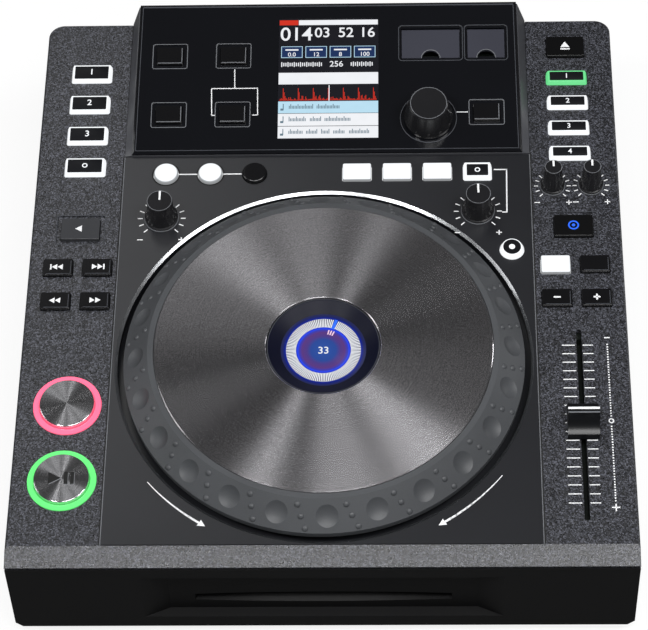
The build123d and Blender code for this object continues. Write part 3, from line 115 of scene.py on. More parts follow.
@dataclass(frozen=True)
class Sizes:
    """The casing's main sizes in millimetres, and its slope in radians, as the frame was made from them."""

    deck_length: float = 334.0
    slope: float = math.radians(4.0)
    bevel_run: float = 10.3
    edge: float = 1.0             # chamfer round the top of the casing
    socket_reach: float = 8.5
    deck_front_z: float = 65.5
    block_start: float = 241.4
    block_front_rise: float = 3.0
    block_rear_rise: float = 15.5
    jog_y: float = 109.0
    jog_top: float = 14.0         # the wheel's turned plate over the deck
    jog_glass: float = 9.0        # the round display's glass over the deck
    collar_split: float = 59.5    # between the cue button's light collar and the play button's

    @property
    def deck(self) -> Face:
        """The deck that carries the wheel and most of the controls."""
        run = self.deck_length * math.cos(self.slope)
        front = -(self.bevel_run + run + self.edge + self.socket_reach) / 2
        return Face((0.0, front + self.bevel_run, self.deck_front_z), self.slope)

    @property
    def panel(self) -> Face:
        """The glossy face of the display block."""
        rise = self.block_rear_rise - self.block_front_rise
        tilt = math.atan2(rise, self.deck_length - self.block_start)
        start = self.deck.point(0.0, self.block_start, self.block_front_rise) / MM
        return Face(tuple(start), self.slope + tilt)


SIZES = Sizes()
DECK_FACE = SIZES.deck
PANEL_FACE = SIZES.panel
PLATE_MIDDLE = tuple(DECK_FACE.point(0.0, SIZES.jog_y, SIZES.jog_top))
FILM_MIDDLE = tuple(DECK_FACE.point(0.0, SIZES.jog_y, SIZES.jog_glass))
COLLAR_SPLIT = DECK_FACE.point(0.0, SIZES.collar_split)[1]


# ---------------------------------------------------------------- where the controls sit
@dataclass(frozen=True)
class Key:
    """One push button: its body, its middle on its face, the top of its cap, and its size.

    A round button's length is its diameter, and it has no width.
    """

    body: str
    x: float
    y: float
    rise: float
    length: float
    width: float = 0.0

    def centre(self) -> Point3:
        """Return the middle of the cap's top in the scene's metres."""
        return tuple(DECK_FACE.point(self.x, self.y, self.rise))


LEFT, RIGHT = -131.0, 131.6           # middles of the two wings
LOOP_ROW = 229.1                      # the row of buttons in front of the display block
PADS = [Key(f"hot_cue_{row + 1}_button", LEFT, 298.6 - 21.6 * row, 2.6, 18.8, 8.9) for row in range(3)]
MEMORY = Key("memory_button", LEFT, 233.8, 2.6, 18.8, 8.9)
SOURCES = [
    Key(f"source_{name}_button", RIGHT, 293.2 - 17.4 * row, 2.2, 18.6, 6.0)
    for row, name in enumerate(("disc", "usb", "card", "midi"))
]
HOLD = Key("effect_hold_button", 81.35, LOOP_ROW, 2.2, 11.7, 7.6)
SLIP = Key("slip_button", 98.6, 177.8, 2.6, 9.2)
LOOPS = [Key(f"loop_{name}_button", x, LOOP_ROW, 2.0, 13.2) for name, x in (("in", -86.8), ("out", -62.85))]
EFFECTS = [
    Key(f"{name}_effect_button", 16.4 + 21.65 * place, LOOP_ROW, 1.6, 15.4, 11.0)
    for place, name in enumerate(("filter", "flanger", "echo"))
]
MASTER = Key("master_tempo_button", 121.25, 167.4, 1.6, 15.4, 11.0)
EJECT = Key("eject_button", RIGHT, 315.3, 1.2, 20.6, 13.6)
REVERSE = Key("reverse_button", LEFT, 192.6, 1.2, 20.6, 13.6)
JOG_MODE = Key("jog_mode_button", RIGHT, 192.6, 1.2, 20.6, 13.6)
PLAY = Key("play_pause_button", LEFT, 37.4, 2.8, 28.0)
CUE = Key("cue_button", LEFT, 81.8, 2.8, 28.0)
POLISHED = [
    Key(f"{name}_button", x, y, 1.8, 14.6, 9.6)
    for name, x, y in (
        ("track_back", -141.35, 167.4),
        ("track_next", -120.65, 167.4),
        ("search_back", -141.35, 146.0),
        ("search_forward", -120.65, 146.0),
        ("pitch_range", 141.95, 167.4),
        ("pitch_minus", 121.25, 146.0),
        ("pitch_plus", 141.95, 146.0),
    )
]
PANEL_KEYS = [
    Key(f"{name}_button", x, y, 0.9, 14.4, 10.6)
    for name, x, y in (
        ("text_mode", -86.9, 61.3),
        ("tempo_count", -51.8, 61.3),
        ("auto_cue", -86.5, 23.9),
        ("tempo_lock", -51.6, 23.9),
        ("back", 87.0, 24.1),
    )
]


@dataclass(frozen=True)
class Dial:
    """One turning knob: its body, place, top radius, height and the ticks round it."""

    body: str
    x: float
    y: float
    top: float
    height: float
    tick_inner: float
    tick_outer: float


DIALS = [
    Dial("jog_weight_knob", -87.9, 199.8, 6.7, 16.0, 10.2, 12.8),
    Dial("effect_depth_knob", 81.1, 203.0, 6.6, 16.0, 10.2, 12.8),
    Dial("start_time_knob", 121.4, 219.4, 4.6, 17.0, 7.6, 9.8),
    Dial("stop_time_knob", 142.0, 219.6, 4.6, 17.0, 7.6, 9.8),
]


# ---------------------------------------------------------------- colours and shader nodes
def linear(code: str, level: float = 1.0) -> Colour:
    """Turn an sRGB hex colour into the linear values that shaders take.

    Args:
        code: colour such as "#1c1d20".
        level: how many times as bright it is made, up to full brightness.

    Returns:
        Linear red, green and blue, and an alpha of 1.
    """
    values = [int(code[i : i + 2], 16) / 255 for i in (1, 3, 5)]
    plain = [v / 12.92 if v <= 0.04045 else ((v + 0.055) / 1.055) ** 2.4 for v in values]
    return (*(min(1.0, v * level) for v in plain), 1.0)


def per_metre(size_mm: float) -> float:
    """Turn the size of one grain in millimetres into a texture scale."""
    return 1.0 / (size_mm * MM)


def add_node(tree: bpy.types.NodeTree, kind: str, inputs: dict[str | int, Any]) -> bpy.types.Node:
    """Add one shader node with its settings and links.

    Args:
        tree: the node tree that takes the node.
        kind: Blender's type name of the node, without the "ShaderNode" before it.
        inputs: its attributes, and its input sockets by name or number. A socket as the value is linked,
            and so is a node, by its first output. "stops" sets a ramp.

    Returns:
        The new node.
    """
    node = tree.nodes.new(f"ShaderNode{kind}")
    for key, value in inputs.items():
        if key == "stops":
            ramp = node.color_ramp.elements
            while len(ramp) < len(value):
                ramp.new(0.5)
            for element, (position, colour) in zip(ramp, value):
                element.position = position
                element.color = colour
        elif isinstance(value, bpy.types.Node):
            tree.links.new(value.outputs[0], node.inputs[key])
        elif isinstance(value, bpy.types.NodeSocket):
            tree.links.new(value, node.inputs[key])
        elif isinstance(key, str) and hasattr(node, key):
            setattr(node, key, value)
        else:
            node.inputs[key].default_value = value
    return node


def new_material(name: str) -> tuple[bpy.types.Material, bpy.types.NodeTree, bpy.types.NodeSocket]:
    """Start a material.

    Args:
        name: its name.

    Returns:
        The material, its emptied node tree and the socket of its Object coordinates.
    """
    material = bpy.data.materials.new(name)
    material.use_nodes = True
    tree = material.node_tree
    tree.nodes.clear()
    return material, tree, add_node(tree, "TexCoord", {}).outputs["Object"]


def finished(material: bpy.types.Material, shader: bpy.types.Node) -> bpy.types.Material:
    """Connect a material's last shader to its output, and return the material."""
    add_node(material.node_tree, "OutputMaterial", {"Surface": shader})
    return material


# ---------------------------------------------------------------- finishes
@dataclass(frozen=True)
class MouldedPlastic:
    """Moulded plastic, lacquer, ink or rubber: a fine grain, and patches a little lighter or darker."""

    name: str
    colour: str
    grain_mm: float = 0.8
    grain_depth: float = 0.25
    roughness: float = 0.5
    spread: float = 0.25          # lightness change from patch to patch
    coat: float = 0.0
    shine: float = 0.5            # strength of its mirror image, as Blender's specular level
    patch_mm: float = 45.0

    def build(self) -> bpy.types.Material:
        """Return the material."""
        material, tree, place = new_material(self.name)
        scale = per_metre(self.grain_mm)
        grain = add_node(tree, "TexNoise", {"Scale": scale, "Detail": 2.0, "Roughness": 0.6, "Vector": place})
        patch = add_node(tree, "TexNoise", {"Scale": per_metre(self.patch_mm), "Detail": 2.0, "Vector": place})
        mixed = add_node(tree, "Math", {"operation": "MULTIPLY_ADD", 0: grain, 1: 0.7, 2: patch})
        dark, light = linear(self.colour, 1.0 - self.spread), linear(self.colour, 1.0 + 1.6 * self.spread)
        tint = add_node(tree, "ValToRGB", {"stops": [(0.55, dark), (1.0, light)], "Fac": mixed})
        height = self.grain_mm * MM * 0.4
        bump = add_node(tree, "Bump", {"Strength": self.grain_depth, "Distance": height, "Height": grain})
        shader = add_node(
            tree,
            "BsdfPrincipled",
            {
                "Base Color": tint,
                "Normal": bump,
                "Roughness": self.roughness,
                "IOR": PLASTIC_IOR,
                "Specular IOR Level": self.shine,
                "Coat Weight": self.coat,
                "Coat Roughness": 0.08,
            },
        )
        return finished(material, shader)


@dataclass(frozen=True)
class PebbleGrain:
    """Black ABS from a coarsely etched tool: each pebble gets its own roughness and its own base colour, up to
    about four times as bright, which is partly random tone and partly painted glints.
    """

    name: str
    colour: str
    pebble_mm: float = 0.6        # drawn a little coarser than the real 0.5 mm, as far as it shows
    contrast: float = 0.95
    depth: float = 0.6
    roughness: float = 0.34

    def build(self) -> bpy.types.Material:
        """Return the material."""
        material, tree, place = new_material(self.name)
        pebbles = add_node(tree, "TexVoronoi", {"Scale": per_metre(self.pebble_mm), "Vector": place})
        tone_and_painted_sparkle = add_node(tree, "SeparateXYZ", {"Vector": pebbles.outputs["Color"]})
        # Painted glints: the brightest pebbles are coloured up to four times as bright as the plastic.
        levels = ((0.0, 1.0 - self.contrast), (0.6, 1.0), (1.0, 1.0 + 3.2 * self.contrast))
        stops = [(at, linear(self.colour, level)) for at, level in levels]
        tint = add_node(tree, "ValToRGB", {"stops": stops, "Fac": tone_and_painted_sparkle.outputs["X"]})
        bump = add_node(
            tree,
            "Bump",
            {
                "invert": True,
                "Strength": self.depth,
                "Distance": self.pebble_mm * MM * 0.3,
                "Height": pebbles.outputs["Distance"],
            },
        )
        rough, smooth = self.roughness * 1.3, self.roughness * 0.7
        sheen = add_node(tree, "MapRange", {"To Min": rough, "To Max": smooth, "Value": tone_and_painted_sparkle.outputs["Y"]})
        inputs = {"IOR": PLASTIC_IOR, "Base Color": tint, "Roughness": sheen, "Normal": bump}
        return finished(material, add_node(tree, "BsdfPrincipled", inputs))


@dataclass(frozen=True)
class SpunMetal:
    """Aluminium turned on a lathe: fine rings round its centre that draw the light out into fans."""

    name: str
    colour: str
    centre: Point3
    roughness: float = 0.25
    pull: float = 0.95
    groove_mm: float = 0.7        # drawn coarser than real tool marks, so that the rings show
    fleck_mm: float = 0.6

    def build(self) -> bpy.types.Material:
        """Return the material."""
        material, tree, place = new_material(self.name)
        outward = add_node(tree, "VectorMath", {"operation": "SUBTRACT", 0: place, 1: self.centre})
        tangent = add_node(tree, "VectorMath", {"operation": "NORMALIZE", 0: outward})
        radius = add_node(tree, "VectorMath", {"operation": "LENGTH", 0: outward}).outputs["Value"]
        groove = {"noise_dimensions": "1D", "Scale": per_metre(self.groove_mm), "Detail": 3.0, "W": radius}
        rings = add_node(tree, "TexNoise", groove)
        flecks = add_node(tree, "TexNoise", {"Scale": per_metre(self.fleck_mm), "Detail": 1.0, "Vector": place})
        both = add_node(tree, "Math", {"operation": "MULTIPLY_ADD", 0: rings, 1: 0.35, 2: flecks})
        stops = [(0.42, linear(self.colour, 0.7)), (0.92, linear(self.colour, 1.25))]
        tint = add_node(tree, "ValToRGB", {"stops": stops, "Fac": both})
        bump = add_node(tree, "Bump", {"Strength": 0.08, "Distance": 0.05 * MM, "Height": both})
        shader = add_node(
            tree,
            "BsdfPrincipled",
            {
                "Base Color": tint,
                "Normal": bump,
                "Tangent": tangent,
                "Metallic": 1.0,
                "Roughness": self.roughness,
                "Anisotropic": self.pull,
            },
        )
        return finished(material, shader)


@dataclass(frozen=True)
class PlainMetal:
    """Plated or zinc-coated steel: bright, with faint smears in its shine."""

    name: str
    colour: str
    roughness: float = 0.25
    smear_mm: float = 8.0

    def build(self) -> bpy.types.Material:
        """Return the material."""
        material, tree, place = new_material(self.name)
        smear = add_node(tree, "TexNoise", {"Scale": per_metre(self.smear_mm), "Detail": 3.0, "Vector": place})
        smooth, rough = self.roughness * 0.75, self.roughness * 1.3
        sheen = add_node(tree, "MapRange", {"To Min": smooth, "To Max": rough, "Value": smear})
        inputs = {"Base Color": linear(self.colour), "Metallic": 1.0, "Roughness": sheen}
        return finished(material, add_node(tree, "BsdfPrincipled", inputs))


@dataclass(frozen=True)
class Glow:
    """Milky plastic over a lamp: it shines evenly, with faint clouds, and its walls may shine less."""

    name: str
    colour: str
    strength: float = 1.0
    shell: str = "#d8dce0"
    walls: float = 1.0            # light that comes out of its walls, against its top
    cloud_mm: float = 6.0
    cloud_depth: float = 0.03

    def build(self) -> bpy.types.Material:
        """Return the material."""
        material, tree, place = new_material(self.name)
        cloud = add_node(tree, "TexNoise", {"Scale": per_metre(self.cloud_mm), "Detail": 1.0, "Vector": place})
        stops = [(0.3, linear(self.colour, 1.0 - self.cloud_depth)), (0.6, linear(self.colour))]
        light = add_node(tree, "ValToRGB", {"stops": stops, "Fac": cloud})
        if self.walls < 1.0:
            facing = add_node(tree, "NewGeometry", {}).outputs["Normal"]
            deck = tuple(DECK_FACE.normal())
            upright = add_node(tree, "VectorMath", {"operation": "DOT_PRODUCT", 0: facing, 1: deck})
            span = {"From Min": 0.75, "From Max": 0.97, "To Min": self.walls, "To Max": 1.0}
            share = add_node(tree, "MapRange", {**span, "Value": upright.outputs["Value"]})
            light = add_node(tree, "VectorMath", {"operation": "SCALE", 0: light, "Scale": share})
        inputs = {
            "Base Color": linear(self.shell),
            "Roughness": 0.35,
            "Emission Color": light,
            "Emission Strength": self.strength,
        }
        return finished(material, add_node(tree, "BsdfPrincipled", inputs))


@dataclass(frozen=True)
class SplitGlow:
    """The pair of light collars: one colour behind a line across the deck and one in front of it."""

    name: str
    rear_colour: str
    front_colour: str
    line_y: float
    strength: float = 1.0

    def build(self) -> bpy.types.Material:
        """Return the material."""
        material, tree, place = new_material(self.name)
        along = add_node(tree, "SeparateXYZ", {"Vector": place}).outputs["Y"]
        side = add_node(tree, "Math", {"operation": "GREATER_THAN", 0: along, 1: self.line_y})
        stops = [(0.0, linear(self.front_colour)), (1.0, linear(self.rear_colour))]
        tint = add_node(tree, "ValToRGB", {"stops": stops, "Fac": side})
        inputs = {
            "Base Color": tint,
            "Roughness": 0.3,
            "Emission Color": tint,
            "Emission Strength": self.strength,
        }
        return finished(material, add_node(tree, "BsdfPrincipled", inputs))


@dataclass(frozen=True)
class RadialGlow:
    """Display film lit from behind, whose colour changes with the distance from its middle."""

    name: str
    centre: Point3
    rings: tuple[tuple[float, str], ...]      # (radius in mm, colour) from the middle out
    strength: float = 1.0

    def build(self) -> bpy.types.Material:
        """Return the material."""
        material, tree, place = new_material(self.name)
        reach = self.rings[-1][0]
        outward = add_node(tree, "VectorMath", {"operation": "SUBTRACT", 0: place, 1: self.centre})
        radius = add_node(tree, "VectorMath", {"operation": "LENGTH", 0: outward}).outputs["Value"]
        share = add_node(tree, "Math", {"operation": "MULTIPLY", 0: radius, 1: per_metre(reach)})
        stops = [(at / reach, linear(colour)) for at, colour in self.rings]
        inputs = {
            "Base Color": linear(DARK),
            "Roughness": 0.15,
            "Emission Color": add_node(tree, "ValToRGB", {"stops": stops, "Fac": share}),
            "Emission Strength": self.strength,
        }
        return finished(material, add_node(tree, "BsdfPrincipled", inputs))


@dataclass(frozen=True)
class PaleFloor:
    """Matt painted board that shines only to the camera: white to the eye, and dim to the player."""

    name: str = "pale_floor"
    dark: str = "#6e6e6e"
    light: str = "#727272"
    patch_mm: float = 400.0
    glow: float = 0.86

    def build(self) -> bpy.types.Material:
        """Return the material."""
        material, tree, place = new_material(self.name)
        patch = add_node(tree, "TexNoise", {"Scale": per_metre(self.patch_mm), "Detail": 1.0, "Vector": place})
        stops = [(0.3, linear(self.dark)), (0.7, linear(self.light))]
        seen = add_node(tree, "LightPath", {}).outputs["Is Camera Ray"]
        inputs = {
            "Base Color": add_node(tree, "ValToRGB", {"stops": stops, "Fac": patch}),
            "Roughness": 0.8,
            "Specular IOR Level": 0.1,
            "Emission Color": WHITE,
            "Emission Strength": add_node(tree, "Math", {"operation": "MULTIPLY", 0: seen, 1: self.glow}),
        }
        return finished(material, add_node(tree, "BsdfPrincipled", inputs))


DARK = "#060607"
JOG_RINGS = (
    (0.0, "#2f53a4"),
    (6.5, "#2c4a98"),
    (8.6, "#4f3c86"),
    (11.0, "#5b3a80"),
    (12.4, "#3a3db0"),
    (13.2, "#2a49f0"),
    (14.0, "#1c33c8"),
    (14.2, "#0d1850"),
    (19.0, "#0e1a58"),
    (19.3, "#122a9c"),
    (20.2, "#111f78"),
    (20.9, "#20265c"),
    (22.4, "#262a4c"),
    (24.0, "#12152a"),
    (25.5, "#07080e"),
)


class Finish(Enum):
    """Every finish of the player, by what it is used for."""

    # Etched black ABS: a dark wing whose pebbles each catch a point of light, from the lamps and as glints
    # painted into their colour.
    CASE = PebbleGrain("pebble_grain_abs", "#2c2d32")
    # The same plastic from a plainer tool, coloured near-black as painted shade for the lower case, whose front
    # face turns away from the lamps; a soft, even sheen.
    LOWER_CASE = MouldedPlastic("shade_darkened_case_abs", "#040405", 0.8, 0.12, 0.6, 0.12, 0.0, 0.3)
    # Lacquered deck plate: smooth near-black that mirrors the room as a soft band.
    DECK = MouldedPlastic("satin_lacquer", "#18191d", 0.35, 0.04, 0.34, 0.08)
    HOUSING = MouldedPlastic("satin_black_abs", "#46474b", 0.4, 0.08, 0.34, 0.1)
    # Polished acrylic: deep black with sharp, weak reflections.
    PANEL = MouldedPlastic("polished_acrylic", "#0e0f13", 0.3, 0.0, 0.12, 0.05, 0.3)
    # Coated glass and lens: almost no mirror image, so that what is lit under it reads clearly.
    SCREEN = MouldedPlastic("screen_glass", "#020203", 0.3, 0.0, 0.3, 0.03, 0.0, 0.05)
    WINDOW = MouldedPlastic("display_lens", "#0e1020", 0.4, 0.0, 0.4, 0.03, 0.0, 0.12)
    # Soft-touch rubber: a mid grey that no light turns glossy.
    RUBBER = MouldedPlastic("soft_rubber", "#45474a", 0.5, 0.12, 0.5, 0.1)
    # Plain moulded ABS: dull black behind the brighter parts.
    HUB = MouldedPlastic("plain_black_abs", "#121213", 0.6, 0.15, 0.5, 0.1)
    # Polished keys: piano black with a small bright highlight on each edge.
    KEY = MouldedPlastic("polished_black_abs", "#0d0d0f", 0.4, 0.02, 0.22, 0.08, 0.2)
    # Satin keys and insets: the same blacks and a grey, with a wider, weaker highlight.
    KEY_SATIN = MouldedPlastic("satin_key_abs", "#070708", 0.4, 0.06, 0.3, 0.1)
    KEY_GREY = MouldedPlastic("grey_key_abs", "#3a3b3e", 0.4, 0.06, 0.36, 0.1)
    INSET = MouldedPlastic("dark_inset_abs", "#101115", 0.4, 0.03, 0.34, 0.08)
    # Knobs, fader and smoky doors: darker or lighter mouldings that catch the lamps along their edges.
    KNOB = MouldedPlastic("fine_grain_abs", "#1b1b1d", 0.35, 0.2, 0.26, 0.15)
    FADER = MouldedPlastic("polished_fader_abs", "#101113", 0.4, 0.03, 0.3, 0.08, 0.05, 0.35)
    DOOR = MouldedPlastic("smoky_door_abs", "#3c3d46", 0.4, 0.03, 0.28, 0.06, 0.1)
    # Sockets, feet and the board inside: matt and nearly black.
    SOCKET = MouldedPlastic("socket_nylon", "#141415", 0.6, 0.1, 0.45, 0.1)
    FOOT = MouldedPlastic("foot_rubber", "#131313", 0.7, 0.3, 0.7, 0.15)
    BOARD = MouldedPlastic("circuit_board", "#0a120d", 0.9, 0.1, 0.5, 0.2)
    # Painted shadow: near-black laid in a gap and on an engraved sign, where only shade falls.
    GROOVE = MouldedPlastic("painted_shadow_black", "#020202", 0.5, 0.0, 0.7, 0.05)
    # Screen-printed ink: flat white, without a shine of its own.
    PRINT = MouldedPlastic("white_ink", "#f4f5f7", 0.3, 0.05, 0.5, 0.05)
    # Painted highlights: thin pale and softer grey lines laid where the rounded edges of black mouldings would
    # catch the lamps.
    RIM_LINE = MouldedPlastic("pale_painted_highlight", "#6c6e72", 0.4, 0.02, 0.3, 0.1)
    SOFT_LINE = MouldedPlastic("soft_painted_highlight", "#43454a", 0.4, 0.02, 0.34, 0.1)
    # Plated ring, zinc-coated sheet and blackened screws: metal with uneven shine.
    EDGE = PlainMetal("bright_well_edge", "#b9bbbe", 0.24)
    STEEL = PlainMetal("zinc_sheet", "#8d9093", 0.4)
    SCREW = PlainMetal("black_screw_steel", "#2a2a2b", 0.4)
    # Lathe-turned aluminium: pale fans of light that turn about each part's middle.
    TOUCH_PLATE = SpunMetal("spun_touch_plate", "#dedce0", PLATE_MIDDLE)
    CUE_DISC = SpunMetal("spun_cue_disc", "#e4e4e8", CUE.centre(), 0.23)
    PLAY_DISC = SpunMetal("spun_play_disc", "#e4e4e8", PLAY.centre(), 0.23)
    # Keys of milky plastic over a lamp: they shine evenly and hardly take a shadow.
    LIT_WHITE = Glow("lit_white_key", "#f4f6f8", 0.9, "#8c9094")
    LIT_TOP = Glow("lit_white_cap", "#f4f6f8", 0.95, "#6c7074", 0.25)
    LIT_GREEN = Glow("lit_green_key", "#63d987", 0.9, "#4a7a58")
    LIT_BLUE = Glow("lit_blue_legend", "#2f6dff", 1.2, DARK)
    COLLARS = SplitGlow("light_collars", "#f0617f", "#57c868", COLLAR_SPLIT, 0.84)
    # Lit areas of the screen and the round display: flat colours that no lamp changes.
    SCREEN_WHITE = Glow("screen_white", "#f4f6fa", 0.97, DARK)
    SCREEN_SKY = Glow("screen_light_blue", "#bfe5f8", 0.95, DARK)
    SCREEN_RED = Glow("screen_red", "#d8301c", 0.95, DARK)
    SCREEN_TILE = Glow("screen_dark_blue", "#16305f", 0.9, DARK)
    SCREEN_TEXT = Glow("screen_grey", "#67808f", 0.9, DARK)
    JOG_GLOW = RadialGlow("jog_display_film", FILM_MIDDLE, JOG_RINGS)
    JOG_PALE = Glow("jog_pale", "#f2f4f6", 1.1, DARK)
    JOG_PINK = Glow("jog_pink", "#ffd6ee", 1.0, DARK)

    def material(self) -> bpy.types.Material:
        """Return this finish's material, built once."""
        return bpy.data.materials.get(self.value.name) or self.value.build()


# ---------------------------------------------------------------- mesh helpers
def hoop(inner: float, outer: float, low: float, high: float) -> list[Point]:
    """Return the square outline of a ring, or of a disc where the inner radius is nought."""
    return [(inner, low), (outer, low), (outer, high), (inner, high)]


def turned(profile: Sequence[Point], segments: int = 96) -> bmesh.types.BMesh:
    """Turn an outline about the upright axis.

    Args:
        profile: (radius, height) corners in order; a first and last radius of nought close on the axis.
        segments: steps of the full turn.

    Returns:
        The mesh, in millimetres.
    """
    shape = bmesh.new()
    corners = [shape.verts.new((radius, 0.0, height)) for radius, height in profile]
    on_axis = profile[0][0] == 0.0 and profile[-1][0] == 0.0
    ends = corners[1:] if on_axis else corners[1:] + corners[:1]
    edges = [shape.edges.new(pair) for pair in zip(corners, ends)]
    bmesh.ops.spin(
        shape,
        geom=corners + edges,
        cent=(0.0, 0.0, 0.0),
        axis=(0.0, 0.0, 1.0),
        dvec=(0.0, 0.0, 0.0),
        angle=math.tau,
        steps=segments,
        use_merge=True,
        use_duplicate=False,
    )
    bmesh.ops.remove_doubles(shape, verts=shape.verts, dist=0.0005)
    bmesh.ops.recalc_face_normals(shape, faces=shape.faces)
    return shape


def rounded_rectangle(length: float, width: float, corner: float, segments: int) -> bmesh.types.BMesh:
    """Make a flat rectangle about the axis, with rounded corners.

    Args:
        length: size along x, mm.
        width: size along y, mm.
        corner: corner radius, mm.
        segments: steps of each corner.

    Returns:
        The mesh, in millimetres.
    """
    shape = bmesh.new()
    size = Matrix.Diagonal((length, width, 1.0, 1.0))
    bmesh.ops.create_grid(shape, x_segments=1, y_segments=1, size=0.5, matrix=size)
    if corner:
        bmesh.ops.bevel(
            shape,
            geom=list(shape.verts),
            offset=corner,
            offset_type="OFFSET",
            segments=segments,
            profile=0.5,
            affect="VERTICES",
            material=-1,
        )
    return shape


def thickened(shape: bmesh.types.BMesh, height: float) -> bmesh.types.BMesh:
    """Raise a flat mesh to a solid with its faces outwards.

    Args:
        shape: the flat mesh, which is changed.
        height: thickness, from nought up, mm.

    Returns:
        The same mesh.
    """
    raised = bmesh.ops.extrude_face_region(shape, geom=list(shape.faces))
    tops = [item for item in raised["geom"] if isinstance(item, bmesh.types.BMVert)]
    bmesh.ops.translate(shape, verts=tops, vec=(0.0, 0.0, height))
    bmesh.ops.recalc_face_normals(shape, faces=shape.faces)
    return shape


def rounded_plate(length: float, width: float, height: float, corner: float, edge: float) -> bmesh.types.BMesh:
    """Make a flat plate about the axis, with rounded corners and a softened top edge.

    Args:
        length: size along x, mm.
        width: size along y, mm.
        height: thickness, from nought up, mm.
        corner: corner radius, mm.
        edge: width of the soft top edge, mm.

    Returns:
        The mesh, in millimetres.
    """
    shape = thickened(rounded_rectangle(length, width, corner, 5), height)
    rim = [e for e in shape.edges if all(v.co.z > height - 0.001 for v in e.verts)]
    bmesh.ops.bevel(
        shape,
        geom=rim,
        offset=edge,
        offset_type="OFFSET",
        segments=2,
        profile=0.5,
        affect="EDGES",
        material=-1,
    )
    return shape


def to_mesh(shape: bmesh.types.BMesh, name: str) -> bpy.types.Mesh:
    """Turn a bmesh, which is used up, into a mesh with a name."""
    mesh = bpy.data.meshes.new(name)
    shape.to_mesh(mesh)
    shape.free()
    return mesh


def add_object(name: str, data: bpy.types.ID) -> bpy.types.Object:
    """Put a mesh, lamp or camera into the scene and return its object."""
    holder = bpy.data.objects.new(name, data)
    bpy.context.scene.collection.objects.link(holder)
    return holder


def make_piece(
    shape: bmesh.types.BMesh, name: str, body: str, finish: Finish, place: Matrix | None = None
) -> None:
    """Turn a finished mesh into a piece that rides on a body.

    Args:
        shape: the mesh, which is used up.
        name: the piece's name.
        body: the body that carries it.
        finish: its finish.
        place: matrix from the mesh's millimetres to the scene, or nothing where it is already there.
    """
    if place is not None:
        bmesh.ops.transform(shape, matrix=place, verts=shape.verts)
    shape.normal_update()
    mesh = to_mesh(shape, name)
    mesh.shade_smooth()
    mesh.set_sharp_from_angle(angle=SMOOTH_BELOW)
    mesh.materials.append(finish.material())
    piece = add_object(name, mesh)
    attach(piece, body)
    LOG.info("piece %s on %s", name, body)


